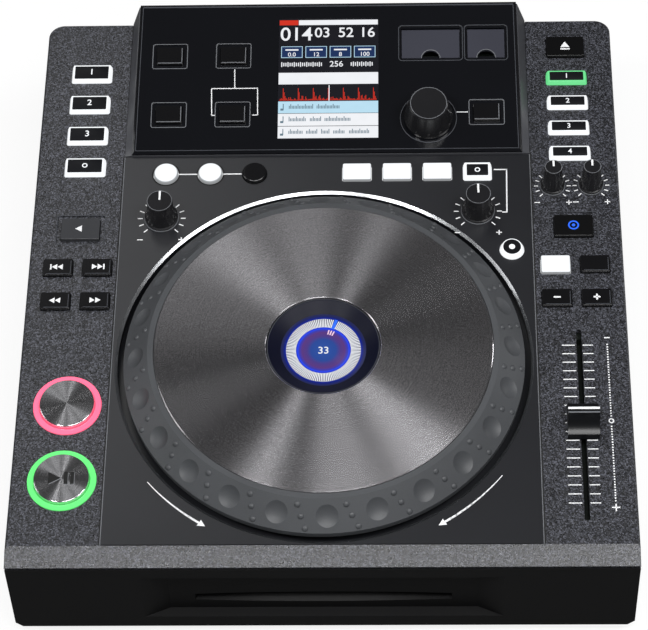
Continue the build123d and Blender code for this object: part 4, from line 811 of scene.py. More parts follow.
@dataclass
class Marks:
    """Thin marks on one face, gathered into one mesh: ink, lit signs, painted highlights and painted shadows.
    All places and sizes are in mm.
    """

    face: Face
    level: float = 0.0            # height of the surface they lie on
    thickness: float = 0.05
    shape: bmesh.types.BMesh = field(default_factory=bmesh.new)

    def _add(self, part: bmesh.types.BMesh, x: float, y: float, turn: float = 0.0) -> None:
        """Take another mesh, which is used up, into this one.

        Args:
            part: the mesh, about its own middle.
            x: where its middle goes across the face.
            y: where its middle goes up the face.
            turn: its turn, degrees.
        """
        bmesh.ops.transform(part, matrix=self.face.place(x, y, self.level, turn), verts=part.verts)
        mesh = to_mesh(part, "mark")
        self.shape.from_mesh(mesh)
        bpy.data.meshes.remove(mesh)

    def bar(self, x: float, y: float, length: float, width: float, turn: float = 0.0) -> None:
        """Lay a straight bar.

        Args:
            x: middle across the face.
            y: middle up the face.
            length: length along its own x.
            width: width.
            turn: turn, degrees.
        """
        self._add(thickened(rounded_rectangle(length, width, 0.0, 0), self.thickness), x, y, turn)

    def line(self, points: Sequence[Point], width: float) -> None:
        """Lay bars from point to point.

        Args:
            points: the corners.
            width: width of the line.
        """
        for (x0, y0), (x1, y1) in zip(points, points[1:]):
            length = math.hypot(x1 - x0, y1 - y0) + width
            turn = math.degrees(math.atan2(y1 - y0, x1 - x0))
            self.bar((x0 + x1) / 2, (y0 + y1) / 2, length, width, turn)

    def outline(self, x: float, y: float, length: float, width: float, corner: float) -> None:
        """Lay a thin frame with rounded corners.

        Args:
            x: middle across the face.
            y: middle up the face.
            length: outer length.
            width: outer width.
            corner: outer corner radius.
        """
        part = rounded_rectangle(length, width, corner, 6)
        middle = list(part.faces)
        bmesh.ops.inset_region(
            part, faces=middle, thickness=FRAME_HIGHLIGHT_WIDTH, use_even_offset=True, use_boundary=True
        )
        bmesh.ops.delete(part, geom=middle, context="FACES")
        self._add(thickened(part, self.thickness), x, y)

    def wedge(self, x: float, y: float, radius: float, turn: float = 0.0, squeeze: float = 1.0) -> None:
        """Lay a triangle that points along its own x.

        Args:
            x: middle across the face.
            y: middle up the face.
            radius: distance from middle to corner.
            turn: turn, degrees.
            squeeze: width against a regular triangle.
        """
        part = bmesh.new()
        bmesh.ops.create_circle(part, cap_ends=True, segments=3, radius=radius)
        bmesh.ops.rotate(part, verts=part.verts, matrix=Matrix.Rotation(-math.pi / 2, 3, "Z"))
        bmesh.ops.scale(part, verts=part.verts, vec=(1.0, squeeze, 1.0))
        self._add(thickened(part, self.thickness), x, y, turn)

    def ring(self, x: float, y: float, inner: float, outer: float, segments: int = 64) -> None:
        """Lay a flat ring, or a disc where the inner radius is nought.

        Args:
            x: centre across the face.
            y: centre up the face.
            inner: inner radius.
            outer: outer radius.
            segments: sides of the circle.
        """
        self._add(turned(hoop(inner, outer, 0.0, self.thickness), segments), x, y)

    def half_ring(self, x: float, y: float, inner: float, outer: float) -> None:
        """Lay the rear half of a flat ring.

        Args:
            x: centre across the face.
            y: centre up the face.
            inner: inner radius.
            outer: outer radius.
        """
        part = turned(hoop(inner, outer, 0.0, self.thickness), 48)
        geometry = [*part.verts, *part.edges, *part.faces]
        bmesh.ops.bisect_plane(
            part, geom=geometry, plane_co=(0.0, 0.0, 0.0), plane_no=(0.0, 1.0, 0.0), clear_inner=True
        )
        bmesh.ops.holes_fill(part, edges=[edge for edge in part.edges if edge.is_boundary], sides=0)
        bmesh.ops.recalc_face_normals(part, faces=part.faces)
        self._add(part, x, y)

    def numeral(self, text: str, x: float, y: float, height: float) -> None:
        """Set plain numerals.

        Args:
            text: the numerals.
            x: middle across the face.
            y: middle up the face.
            height: height of the figures.
        """
        curve = bpy.data.curves.new("numeral", "FONT")
        curve.body = text
        curve.align_x = curve.align_y = "CENTER"
        curve.size = height * 1.4         # a figure takes up 1/1.4 of the font's size
        curve.extrude = self.thickness / 2
        curve.offset = height * 0.012     # a slightly bolder stroke
        holder = bpy.data.objects.new("numeral", curve)
        mesh = bpy.data.meshes.new_from_object(holder)
        part = bmesh.new()
        part.from_mesh(mesh)
        bmesh.ops.translate(part, verts=part.verts, vec=(0.0, 0.0, self.thickness / 2))
        self._add(part, x, y)
        bpy.data.objects.remove(holder)
        bpy.data.curves.remove(curve)
        bpy.data.meshes.remove(mesh)

    def piece(self, name: str, body: str, slot: str, finish: Finish) -> None:
        """Finish the marks as one piece.

        Args:
            name: the piece's name.
            body: the body that carries it.
            slot: the record's material slot; not used.
            finish: its finish.
        """
        bmesh.ops.remove_doubles(self.shape, verts=self.shape.verts, dist=1e-7)
        make_piece(self.shape, name, body, finish)


def paint_edge_highlight(key: Key, face: Face, inset: float, ends: Point, width: float, finish: Finish) -> None:
    """Paint the highlight that the right and front edges of a polished cap would catch, as a pale line.

    Args:
        key: the button.
        face: the face that it stands on.
        inset: how far the line's middle lies inside the cap's edge, mm.
        ends: how far it stops from the rear edge, and how much shorter than the cap it is, mm.
        width: width of the line, mm.
        finish: its finish.
    """
    # Painted highlight: an L of pale line along the cap's right and front edges.
    marks = Marks(face, key.rise, HAIR)
    right, front = key.x + key.length / 2 - inset, key.y - key.width / 2 + inset
    rear, left = key.y + key.width / 2 - ends[0], right - key.length + ends[1]
    marks.line([(right, rear), (right, front), (left, front)], width)
    marks.piece(f"{key.body}_edge", key.body, "key_gloss", finish)


# ---------------------------------------------------------------- sub-assemblies
@dataclass
class Keyboard:
    """Dark insets, lit legends and printed signs on the push buttons, with painted highlight and painted shadow
    lines round them.
    """

    inset_drop: float = 0.38      # floor of the cap's hollow below its top, mm
    inset_height: float = 0.41    # fills the hollow, so no lit wall shows round the plate
    pad_shift: float = 0.3        # the pads' dark plates sit towards the front
    sign_height: float = 3.6
    stroke: float = 0.95

    def build(self) -> None:
        """Build everything that sits on the buttons."""
        numbers = {key.body: str(row + 1) for keys in (PADS, SOURCES) for row, key in enumerate(keys)}
        for key in (*PADS, MEMORY, *SOURCES, HOLD, SLIP):
            self.inset(key)
            self.legend(key, numbers.get(key.body, ""))
        for place, key in enumerate(POLISHED[:4]):
            self.arrows(key, 0.0 if place % 2 else 180.0, place < 2)
        for key in POLISHED[5:]:
            self.sign(key, key.body.startswith("pitch_plus"))
        self.wing_signs()
        self.play_pause()
        # Painted shadow: a near-black ring round each loop button, where the gap's shade falls.
        for key in LOOPS:
            gap = Marks(DECK_FACE, 0.0, HAIR)
            gap.ring(key.x, key.y, 7.0, 7.7)
            gap.piece(f"{key.body}_gap", "casing", "deck_satin", Finish.GROOVE)
        # Painted highlights: pale frames round the sunken eject, reverse and jog mode buttons.
        frames = Marks(DECK_FACE, 0.0, THIN)
        for key in (EJECT, REVERSE, JOG_MODE):
            frames.outline(key.x, key.y, 26.2, 19.4, 1.6)
        frames.piece("wing_painted_frame_highlights", "casing", "case_plastic", Finish.SOFT_LINE)
        for key in POLISHED:
            paint_edge_highlight(key, DECK_FACE, 0.5, (1.0, 2.0), 0.35, Finish.SOFT_LINE)

    def inset(self, key: Key) -> None:
        """Lay the dark plate in the hollow of a lit cap."""
        if key.width:
            shape = rounded_plate(key.length - 0.1, key.width - 0.1, self.inset_height, 0.4, 0.06)
        else:
            shape = turned(hoop(0.0, key.length / 2 + 0.1, 0.0, self.inset_height))
        forward = self.pad_shift if key in (*PADS, MEMORY) else 0.0
        place = DECK_FACE.place(key.x, key.y - forward, key.rise - self.inset_drop)
        make_piece(shape, f"{key.body}_inset", key.body, Finish.INSET, place)

    def legend(self, key: Key, number: str) -> None:
        """Print the sign of a lit cap: a number, or a ring or dot where it has none.

        Args:
            key: the button.
            number: its number, or nothing.
        """
        marks = Marks(DECK_FACE, key.rise - self.inset_drop + self.inset_height)
        if number:
            marks.numeral(number, key.x, key.y, 3.9 if key in PADS else 3.2)
        else:
            marks.ring(key.x, key.y, *((0.9, 1.5) if key.width else (0.0, 1.6)))
        marks.piece(f"{key.body}_legend", key.body, "lit_key", Finish.LIT_WHITE)

    def arrows(self, key: Key, turn: float, bar: bool) -> None:
        """Print the double arrow of a track or search button.

        Args:
            key: the button.
            turn: nought for forward, 180 for back.
            bar: whether a bar stands at the arrows' tips.
        """
        marks = Marks(DECK_FACE, key.rise)
        way = math.cos(math.radians(turn))
        for step in (-1.7, 1.3):
            marks.wedge(key.x + way * step, key.y, 1.9, turn, 1.05)
        if bar:
            marks.bar(key.x + way * 3.7, key.y, 0.75, 3.4)
        marks.piece(f"{key.body}_arrows", key.body, "key_gloss", Finish.PRINT)

    def sign(self, key: Key, upright: bool) -> None:
        """Print a minus or a plus.

        Args:
            key: the button.
            upright: whether the upright stroke of the plus is there.
        """
        marks = Marks(DECK_FACE, key.rise)
        marks.bar(key.x, key.y, self.sign_height, self.stroke)
        if upright:
            marks.bar(key.x, key.y, self.stroke, self.sign_height)
        marks.piece(f"{key.body}_sign", key.body, "key_gloss", Finish.PRINT)

    def wing_signs(self) -> None:
        """Print the eject and reverse signs, and light the jog mode button's disc in its ring."""
        eject, reverse, mode = (Marks(DECK_FACE, key.rise) for key in (EJECT, REVERSE, JOG_MODE))
        eject.wedge(EJECT.x, EJECT.y + 0.5, 2.7, 90.0, 1.1)
        eject.bar(EJECT.x, EJECT.y - 2.1, 5.1, self.stroke)
        reverse.wedge(REVERSE.x - 0.4, REVERSE.y, 2.4, 180.0)
        for inner, outer in ((2.1, 2.9), (0.0, 0.9)):
            mode.ring(JOG_MODE.x, JOG_MODE.y, inner, outer)
        eject.piece("eject_sign", EJECT.body, "key_satin", Finish.PRINT)
        reverse.piece("reverse_sign", REVERSE.body, "key_satin", Finish.PRINT)
        mode.piece("jog_mode_sign", JOG_MODE.body, "lit_key", Finish.LIT_BLUE)

    def play_pause(self) -> None:
        """Lay the play and pause signs on the turned disc in near-black as painted shade of an engraving, each
        with a pale painted highlight beside it.
        """
        for name, finish, shift, lift in (
            ("play_pause_sign_painted_highlight", Finish.RIM_LINE, 0.3, 0.0),
            ("play_pause_sign", Finish.GROOVE, 0.0, THIN),
        ):
            marks = Marks(DECK_FACE, PLAY.rise + lift)
            x, y = PLAY.x + shift, PLAY.y - shift
            marks.wedge(x - 4.4, y, 4.2, 0.0, self.stroke)
            for bar in (2.4, 5.6):
                marks.bar(x + bar, y, 1.9, 7.0)
            marks.piece(name, PLAY.body, "play_metal", finish)


@dataclass
class DeckPrint:
    """White signs printed on the centre deck and on both wings."""

    ink: float = 0.7              # width of most printed lines, mm
    tick_ink: float = 0.6
    tick_turn: float = 22.5
    arrow_radius: float = 113.9
    arrow_steps: int = 12
    scale_rows: int = 19
    scale_span: Point = (117.0, 93.8)         # its rear end up the deck, and its length, mm
    fine_dots: int = 60
    fine_span: Point = (117.4, 93.0)
    fine_x: float = 146.0
    centre_ring: float = 71.1     # the ring in the middle of the fine scale

    def build(self) -> None:
        """Print the deck and the wings."""
        centre, wings = Marks(DECK_FACE), Marks(DECK_FACE)
        for start, end in ((-79.4, -70.2), (-55.4, -46.3)):
            centre.line([(start, LOOP_ROW), (end, LOOP_ROW)], self.ink)
        centre.line([(90.6, 230.7), (97.1, 230.7), (96.6, 202.3), (94.4, 202.3)], self.ink)
        self.turn_arrows(centre)
        for dial in DIALS[:2]:
            self.ticks(centre, dial)
        centre.piece("deck_print", "casing", "deck_satin", Finish.PRINT)
        for dial in DIALS[2:]:
            self.ticks(wings, dial)
        self.fader_scale(wings)
        wings.piece("wing_print", "casing", "case_plastic", Finish.PRINT)

    def turn_arrows(self, marks: Marks) -> None:
        """Sweep an arrow along each front corner of the wheel's well."""
        radius, steps = self.arrow_radius, self.arrow_steps
        for start, end, way in ((219.7, 237.3, 1.0), (-37.8, -57.3, -1.0)):
            turns = [start + (end - start) * step / steps for step in range(steps + 1)] + [end + way * 0.9]
            angles = [math.radians(turn) for turn in turns]
            *points, tip = [(radius * math.cos(a), SIZES.jog_y + radius * math.sin(a)) for a in angles]
            for step in range(steps):
                marks.line(points[step : step + 2], 0.45 + 0.75 * step / steps)
            marks.wedge(*tip, 2.5, end + way * 90.0, 0.9)

    def ticks(self, marks: Marks, dial: Dial) -> None:
        """Set the ticks round a knob, with a minus and a plus at the ends.

        Args:
            marks: where they go.
            dial: the knob.
        """
        middle = (dial.tick_inner + dial.tick_outer) / 2
        for step in range(-6, 7):
            turn = 90.0 - self.tick_turn * step
            angle = math.radians(turn)
            place = (dial.x + middle * math.cos(angle), dial.y + middle * math.sin(angle))
            marks.bar(*place, dial.tick_outer - dial.tick_inner, self.tick_ink, turn)
        side, front = dial.tick_outer * 0.86, dial.y - dial.tick_outer - 1.2
        marks.bar(dial.x - side, front, 3.0, self.tick_ink)
        marks.bar(dial.x + side, front, 3.0, self.tick_ink)
        marks.bar(dial.x + side, front, self.tick_ink, 3.0)

    def fader_scale(self, marks: Marks) -> None:
        """Set the rows of ticks beside the fader and its fine scale."""
        start, span = self.scale_span
        for row in range(self.scale_rows):
            y = start - span * row / (self.scale_rows - 1)
            for left, right in ((122.7, 129.4), (133.4, 138.7)):
                marks.bar((left + right) / 2, y, right - left, 0.55)
        start, span = self.fine_span
        for dot in range(self.fine_dots + 1):
            y = start - span * dot / self.fine_dots
            if abs(y - self.centre_ring) > 2.6:
                marks.bar(self.fine_x, y, 0.75, 0.75)
        marks.bar(self.fine_x, 121.5, 2.9, self.ink)
        marks.ring(self.fine_x, self.centre_ring, 0.8, 1.45)
        marks.bar(self.fine_x, 20.6, 4.2, self.ink)
        marks.bar(self.fine_x, 20.6, self.ink, 4.2)


@dataclass
class Trims:
    """Bright edge of the well, a painted shadow line and a painted highlight line beside the centre deck, and
    print and painted highlights on knobs and fader.
    """

    well_radius: float = 107.4
    well_segments: int = 256
    divider: Point = (120.6, 240.8)           # middle up the deck, and length
    select: Point = (55.3, 20.6)
    select_height: float = 16.0
    fader: Point = (131.6, 69.85)
    fader_height: float = 13.0
    ridge: float = 15.8           # length of the fader's ridge

    def build(self) -> None:
        """Build the trims."""
        self.well_edge()
        # Painted shadow and painted highlight: a near-black line and a pale line along each side of the centre
        # deck.
        for name, x, width, slot, finish in (
            ("divider_painted_shadows", 110.35, 0.55, "case_plastic", Finish.GROOVE),
            ("divider_painted_highlights", 109.7, 0.45, "deck_satin", Finish.RIM_LINE),
        ):
            marks = Marks(DECK_FACE, 0.0, THIN)
            for side in (-x, x):
                marks.bar(side, self.divider[0], width, self.divider[1])
            marks.piece(name, "casing", slot, finish)
        for dial in DIALS:
            self.dress_knob(dial)
        self.select_rims()
        # A printed white line on the fader's ridge, and a painted highlight along its front edge.
        for name, shift, width, finish in (
            ("fader_line", 0.9, 1.3, Finish.PRINT),
            ("fader_painted_highlight", -1.5, 0.8, Finish.RIM_LINE),
        ):
            marks = Marks(DECK_FACE, self.fader_height)
            marks.bar(self.fader[0], self.fader[1] + shift, self.ridge, width)
            marks.piece(name, "pitch_fader", "fader_plastic", finish)

    def well_edge(self) -> None:
        """Lay the thin bright ring in the chamfer round the well."""
        lip, deck = self.well_radius - 0.7, self.well_radius + 0.75
        profile = [(lip, -0.95), (deck, 0.03), (deck - 0.35, -0.7), (lip + 0.1, -1.25)]
        ring, place = turned(profile, self.well_segments), DECK_FACE.place(0.0, SIZES.jog_y)
        make_piece(ring, "well_edge", "casing", Finish.EDGE, place)

    def dress_knob(self, dial: Dial) -> None:
        """Mark a knob's setting on its top, and paint highlights as thin bright hoops round its foot and its
        top.
        """
        pointer = Marks(DECK_FACE, dial.height)
        pointer.bar(dial.x, dial.y + dial.top * 0.52, 1.05, dial.top * 0.86)
        pointer.piece(f"{dial.body}_pointer", dial.body, "knob_plastic", Finish.PRINT)
        # Painted highlights: a pale hoop round the knob's foot and a pale ring on its top edge.
        low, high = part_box(dial.body)
        radius = (high[0] - low[0]) / MM / 2
        foot, place = turned(hoop(radius - 0.2, radius + 0.3, 0.15, 0.7)), DECK_FACE.place(dial.x, dial.y)
        make_piece(foot, f"{dial.body}_rim", dial.body, Finish.RIM_LINE, place)
        top = Marks(DECK_FACE, dial.height, THIN)
        top.ring(dial.x, dial.y, dial.top - 0.35, dial.top - 0.05)
        top.piece(f"{dial.body}_top_painted_rim_highlight", dial.body, "knob_plastic", Finish.RIM_LINE)

    def select_rims(self) -> None:
        """Paint highlight rings round the select knob's top and its round dish."""
        top = Marks(PANEL_FACE, self.select_height, THIN)
        top.ring(*self.select, 9.55, 9.9)
        top.piece("select_knob_painted_rim_highlight", "select_knob", "knob_plastic", Finish.RIM_LINE)
        dish = Marks(PANEL_FACE)
        dish.ring(*self.select, 15.05, 15.5, 96)
        dish.piece("select_dish_painted_rim_highlight", "casing", "panel_gloss", Finish.SOFT_LINE)


@dataclass
class JogWheel:
    """Rubber pips on the ring, the lit picture of the round display and a painted highlight on its lip."""

    rim: Point = (90.3, 13.3)     # radius and height of the ring's slope at its top
    foot: Point = (103.4, 1.4)    # and at its foot
    dimples: int = 24
    first_dimple: float = 91.7
    pips_of_gap: tuple[Point, ...] = ((6.0, 0.2), (7.3, 0.53), (8.7, 0.87))   # turn, and share of the slope
    pip_radius: float = 1.6
    strokes: int = 120
    pointer_turn: float = 19.5
    pointer_gap: float = 2.0
    film: tuple[Point, ...] = ((0.0, 0.0), (21.3, 0.0), (25.0, 2.02), (25.0, 2.06), (21.3, 0.04), (0.0, 0.04))
    lip: tuple[float, ...] = (28.55, 28.9, 13.15, 13.24)      # its radii and heights

    def build(self) -> None:
        """Build the wheel's details."""
        self.pips()
        self.display()

    def pips(self) -> None:
        """Set three pips between every two dimples."""
        shape = bmesh.new()
        run, fall = self.foot[0] - self.rim[0], self.rim[1] - self.foot[1]
        lie = Matrix.Rotation(math.atan2(fall, run), 4, "Y") @ Matrix.Diagonal((1.0, 1.0, 0.5, 1.0))
        for gap in range(self.dimples):
            start = self.first_dimple + 360.0 / self.dimples * gap
            for turn, share in self.pips_of_gap:
                spot = Matrix.Translation((self.rim[0] + run * share, 0.0, self.rim[1] - fall * share))
                place = DECK_FACE.place(0.0, SIZES.jog_y, 0.0, start + turn) @ spot @ lie
                bmesh.ops.create_uvsphere(
                    shape, u_segments=16, v_segments=8, radius=self.pip_radius, matrix=place
                )
        make_piece(shape, "jog_pips", "jog_wheel", Finish.RUBBER)

    def display(self) -> None:
        """Light the round display: its film, a ring of strokes, a pointer, three lamps and figures, and paint a
        highlight ring on its lip.
        """
        face = Face(tuple(DECK_FACE.point(0.0, SIZES.jog_y) / MM), SIZES.slope)
        window, level = "display_window", SIZES.jog_glass + 0.04
        place = face.place(0.0, 0.0, SIZES.jog_glass)
        make_piece(turned(self.film), "jog_display_film", "casing", Finish.JOG_GLOW, place)
        strokes, pointer, lamps, speed = (Marks(face, level, t) for t in (0.02, HAIR, HAIR, HAIR))
        for step in range(self.strokes):
            clock = 360.0 * step / self.strokes
            if abs(clock - self.pointer_turn) > self.pointer_gap:
                self._stroke(strokes, clock, 16.65, 5.1, 0.5)
        self._stroke(pointer, self.pointer_turn, 16.7, 5.8, 1.5)
        for clock in (12.5, 19.0, 25.5):
            self._stroke(lamps, clock, 11.2, 2.8, 0.65)
        speed.numeral("33", 0.0, -0.3, 4.2)
        strokes.piece("jog_display_strokes", "casing", window, Finish.JOG_PALE)
        pointer.piece("jog_display_pointer", "casing", window, Finish.LIT_BLUE)
        lamps.piece("jog_display_lamps", "casing", window, Finish.JOG_PINK)
        speed.piece("jog_display_figures", "casing", window, Finish.SCREEN_WHITE)
        # Painted highlight: a thin soft grey ring on the lip round the display.
        lip = turned(hoop(*self.lip))
        make_piece(lip, "jog_display_painted_lip_highlight", "casing", Finish.SOFT_LINE, face.place())

    def _stroke(self, marks: Marks, clock: float, radius: float, length: float, width: float) -> None:
        """Lay one stroke that points at the display's middle.

        Args:
            marks: where it goes.
            clock: its turn clockwise from the rear, degrees.
            radius: distance of its middle from the display's, mm.
            length: length, mm.
            width: width, mm.
        """
        turn = 90.0 - clock
        angle = math.radians(turn)
        marks.bar(radius * math.cos(angle), radius * math.sin(angle), length, width, turn)


@dataclass
class DisplayBlock:
    """Printed lines, painted highlight frames and the lit page of the display block. Page sizes count from its
    upper left corner.
    """

    screen_x: float = 0.6
    screen_y: float = 46.6
    width: float = 55.3
    height: float = 77.1
    screen_level: float = -0.3
    # Each door with the middle and the length of its frame.
    doors: tuple[tuple[str, float, float], ...] = (("card_door", 56.9, 35.6), ("usb_door", 87.4, 24.1))
    # Half widths of the panel's rim, where its painted highlight runs, at its front and rear, and how far up
    # the panel these lie.
    rim: tuple[float, float, float, float] = (103.9, 102.9, 1.5, 93.3)
    door_front: float = 58.9
    door_level: float = -0.1
    notch: float = 4.9
    ink: float = 0.5
    tile_x: float = 7.4           # middle of the first tile
    tile_pitch: float = 13.4
    label_y: float = 29.6
    label_pitch: float = 1.15
    wave_base: float = 52.6
    wave_steps: int = 104
    wave_pitch: float = 0.515
    text_pitch: float = 0.8
    low_letter: float = 1.9
    high_letter: float = 2.9
    list_rows: tuple[tuple[float, tuple[float, ...]], ...] = (    # middle of the row, and its words' lengths
        (56.9, (13.6, 13.0)),
        (64.8, (10.0, 6.4, 14.6)),
        (72.7, (8.0, 6.6, 5.0, 7.0, 11.4)),
    )

    @property
    def corner(self) -> Point:
        """Upper left corner of the screen on the panel."""
        return self.screen_x - self.width / 2, self.screen_y + self.height / 2

    def build(self) -> None:
        """Build the block's details."""
        self.frames()
        self.lead_lines()
        self.page()

    def frames(self) -> None:
        """Paint highlight lines round the panel, the sunken frames of the buttons and the doors, the doors'
        notches and the keys' edges.
        """
        marks, soft = Marks(PANEL_FACE, 0.0, THIN), Marks(PANEL_FACE, 0.0, THIN)
        for key in PANEL_KEYS:
            marks.outline(key.x, key.y, 19.5, 16.1, 1.3)
        marks.piece("panel_painted_frame_highlights", "casing", "panel_gloss", Finish.RIM_LINE)
        for _, x, length in self.doors:
            soft.outline(x, 68.55, length, 23.1, 2.2)
        front, rear, low, high = self.rim
        soft.line([(-rear, high), (-front, low), (front, low), (rear, high)], 0.4)
        soft.bar(0.0, high, 2 * rear, 0.8)
        soft.piece("panel_painted_rim_highlight", "casing", "panel_gloss", Finish.SOFT_LINE)
        # Painted highlight: a pale half ring on the rear lip of each door's notch.
        for body, x, _ in self.doors:
            lip = Marks(PANEL_FACE, self.door_level, THIN)
            lip.half_ring(x, self.door_front, self.notch, self.notch + FRAME_HIGHLIGHT_WIDTH)
            lip.piece(f"{body}_lip", body, "door_plastic", Finish.RIM_LINE)
        for key in PANEL_KEYS:
            paint_edge_highlight(key, PANEL_FACE, 0.6, (0.8, 1.4), 0.45, Finish.RIM_LINE)

    def lead_lines(self) -> None:
        """Draw the lines that join the panel's controls."""
        marks = Marks(PANEL_FACE)
        for points in (
            [(-51.0, 52.3), (-50.7, 40.4)],
            [(-63.0, 23.4), (-63.5, 40.4), (-38.2, 40.4), (-37.9, 23.4), (-40.6, 23.4)],
            [(-63.0, 23.4), (-61.6, 23.4)],
            [(70.9, 24.2), (76.6, 24.2)],
        ):
            marks.line(points, self.ink)
        marks.piece("panel_print", "casing", "panel_gloss", Finish.PRINT)

    def _rows(self, name: str, finish: Finish, rows: Sequence[Sequence[float]], lift: float = 0.02) -> None:
        """Lay bars on the screen.

        Args:
            name: the piece's name.
            finish: their finish.
            rows: (x, y, length, width) of each, mm.
            lift: height over the glass, mm.
        """
        marks = Marks(PANEL_FACE, self.screen_level + lift, 0.02)
        left, top = self.corner
        for x, y, length, width in rows:
            marks.bar(left + x, top - y, length, width)
        marks.piece(name, "casing", "screen_glass", finish)

    def page(self) -> None:
        """Light the screen's page: a title bar, times, four tiles, a waveform and a list."""
        middle, full = self.width / 2, self.width - 0.6
        self._rows("screen_title", Finish.SCREEN_WHITE, [(middle + 5.3, 2.5, self.width - 11.5, 3.2)])
        self._rows("screen_title_lamp", Finish.SCREEN_RED, [(5.6, 2.5, 10.4, 3.2)])
        tiles = [(self.tile_x + self.tile_pitch * tile, 21.6, 11.8, 7.4) for tile in range(4)]
        self._rows("screen_tile_edges", Finish.SCREEN_SKY, tiles)
        inner = [(x, y, length - 0.7, width - 0.7) for x, y, length, width in tiles]
        self._rows("screen_tiles", Finish.SCREEN_TILE, inner, 0.04)
        labels = [(x, y - 1.4, 7.2, 0.9) for x, y, _, _ in tiles]
        for start, strokes, beat in ((1.9, 20, (1, 0, 0)), (40.2, 11, (0, 1))):
            for stroke in range(strokes):
                tall = 2.2 + self.text_pitch * beat[stroke % len(beat)]
                labels.append((start + self.label_pitch * stroke, self.label_y, 0.6, tall))
        self._rows("screen_labels", Finish.SCREEN_WHITE, labels, 0.06)
        self._rows("screen_progress", Finish.SCREEN_WHITE, [(middle, 38.6, full, 7.4)])
        self._rows("screen_wave", Finish.SCREEN_RED, self.wave())
        self._rows("screen_playhead", Finish.SCREEN_WHITE, [(28.1, 48.0, 0.5, 10.0)], 0.04)
        self._rows("screen_chosen_row", Finish.SCREEN_SKY, [(middle, 56.9, full, 7.5)])
        self._rows("screen_rows", Finish.SCREEN_WHITE, [(middle, 64.8, full, 7.7), (middle, 72.7, full, 7.4)])
        self._rows("screen_list", Finish.SCREEN_TEXT, self.list_marks(), 0.05)
        self.figures()

    def wave(self) -> list[Sequence[float]]:
        """Return the waveform's bars: a tall beat every sixteen steps, with a shorter one behind it."""
        bars = []
        for step in range(self.wave_steps):
            beat = (step - 4) % 16
            noise = abs(math.sin(2.3 * step) * math.sin(0.7 * step))
            tall = {0: 7.8, 1: 5.2}.get(beat, 0.4 + (3.0 if beat < 9 else 1.2) * noise)
            bars.append((0.9 + step * self.wave_pitch, self.wave_base - tall / 2, 0.36, tall))
        return bars

    def list_marks(self) -> list[Sequence[float]]:
        """Return the list's bars: a note sign at the start of each row, then strokes that stand for words."""
        bars = []
        for y, lengths in self.list_rows:
            bars += [(3.1, y - 0.3, 0.5, 3.8), (2.4, y + 1.4, 1.7, 1.3)]
            start = 6.4
            for length in lengths:
                for stroke in range(int(length / self.text_pitch)):
                    tall = self.high_letter if (stroke * 7 + int(length)) % 5 == 0 else self.low_letter
                    x = start + self.text_pitch * stroke
                    bars.append((x, y - (tall - self.low_letter) / 2, 0.46, tall))
                start += length + 1.6
        return bars

    def figures(self) -> None:
        """Set the page's figures."""
        left, top = self.corner
        marks = Marks(PANEL_FACE, self.screen_level + 0.07, HAIR)
        rows = [("014", 9.8, 10.4, 8.6), ("03", 24.2, 9.4, 6.3), ("52", 37.2, 9.4, 6.3), ("16", 49.0, 9.4, 6.3)]
        for tile, text in enumerate(("0.0", "12", "8", "100")):
            rows.append((text, self.tile_x + self.tile_pitch * tile, 23.3, 2.6))
        rows.append(("256", 32.0, self.label_y, 3.6))
        for text, x, y, height in rows:
            marks.numeral(text, left + x, top - y, height)
        marks.piece("screen_figures", "casing", "screen_glass", Finish.SCREEN_WHITE)


@dataclass
class CarriedParts:
    """The solids that keep their shape and get their finish here."""

    frame: dict[str, Any]
    by_slot: ClassVar[dict[str, Finish]] = {
        "case_plastic": Finish.CASE,
        "deck_satin": Finish.DECK,
        "panel_gloss": Finish.PANEL,
        "housing_plastic": Finish.HOUSING,
        "screen_glass": Finish.SCREEN,
        "jog_rubber": Finish.RUBBER,
        "hub_plastic": Finish.HUB,
        "display_window": Finish.WINDOW,
        "key_gloss": Finish.KEY,
        "key_satin": Finish.KEY_SATIN,
        "lit_key": Finish.LIT_WHITE,
        "source_key": Finish.LIT_WHITE,
        "disc_key": Finish.LIT_GREEN,
        "light_plastic": Finish.COLLARS,
        "knob_plastic": Finish.KNOB,
        "fader_plastic": Finish.FADER,
        "door_plastic": Finish.DOOR,
        "sheet_steel": Finish.STEEL,
        "board": Finish.BOARD,
        "socket_plastic": Finish.SOCKET,
        "foot_rubber": Finish.FOOT,
        "screw_steel": Finish.SCREW,
    }
    by_node: ClassVar[dict[str, Finish]] = {
        "bottom_case": Finish.LOWER_CASE,
        "reverse_button": Finish.KEY_GREY,
        **{key.body: Finish.LIT_TOP for key in (*LOOPS, *EFFECTS, MASTER)},
        "jog_plate": Finish.TOUCH_PLATE,
        "cue_button": Finish.CUE_DISC,
        "play_pause_button": Finish.PLAY_DISC,
    }

    def dress(self) -> None:
        """Give each node of the frame its finish."""
        slots = {row["node"]: row["material_slot"] for row in self.frame["record"]["subparts"]}
        for name, node in self.frame["nodes"].items():
            finish = (self.by_node.get(name) or self.by_slot[slots[name]]).material()
            for holder in node.material_slots:
                holder.link = "OBJECT"
                holder.material = finish
            if not node.material_slots:
                node.data.materials.append(finish)
            LOG.info("finish %s on %s", finish.name, name)


@dataclass(frozen=True)
class Lamp:
    """One square soft lamp that points at the player: its place and side in metres, and its watts."""

    name: str
    place: Point3
    side: float
    watts: float
    aim: Point3 = (0.0, 0.0, 0.08)

    def hang(self) -> bpy.types.Object:
        """Put the lamp in the scene and return it."""
        data = bpy.data.lights.new(self.name, "AREA")
        data.shape = "SQUARE"
        data.size = self.side
        data.energy = self.watts
        holder = add_object(self.name, data)
        holder.location = self.place
        holder.rotation_euler = (Vector(self.aim) - Vector(self.place)).to_track_quat("-Z", "Y").to_euler()
        return holder


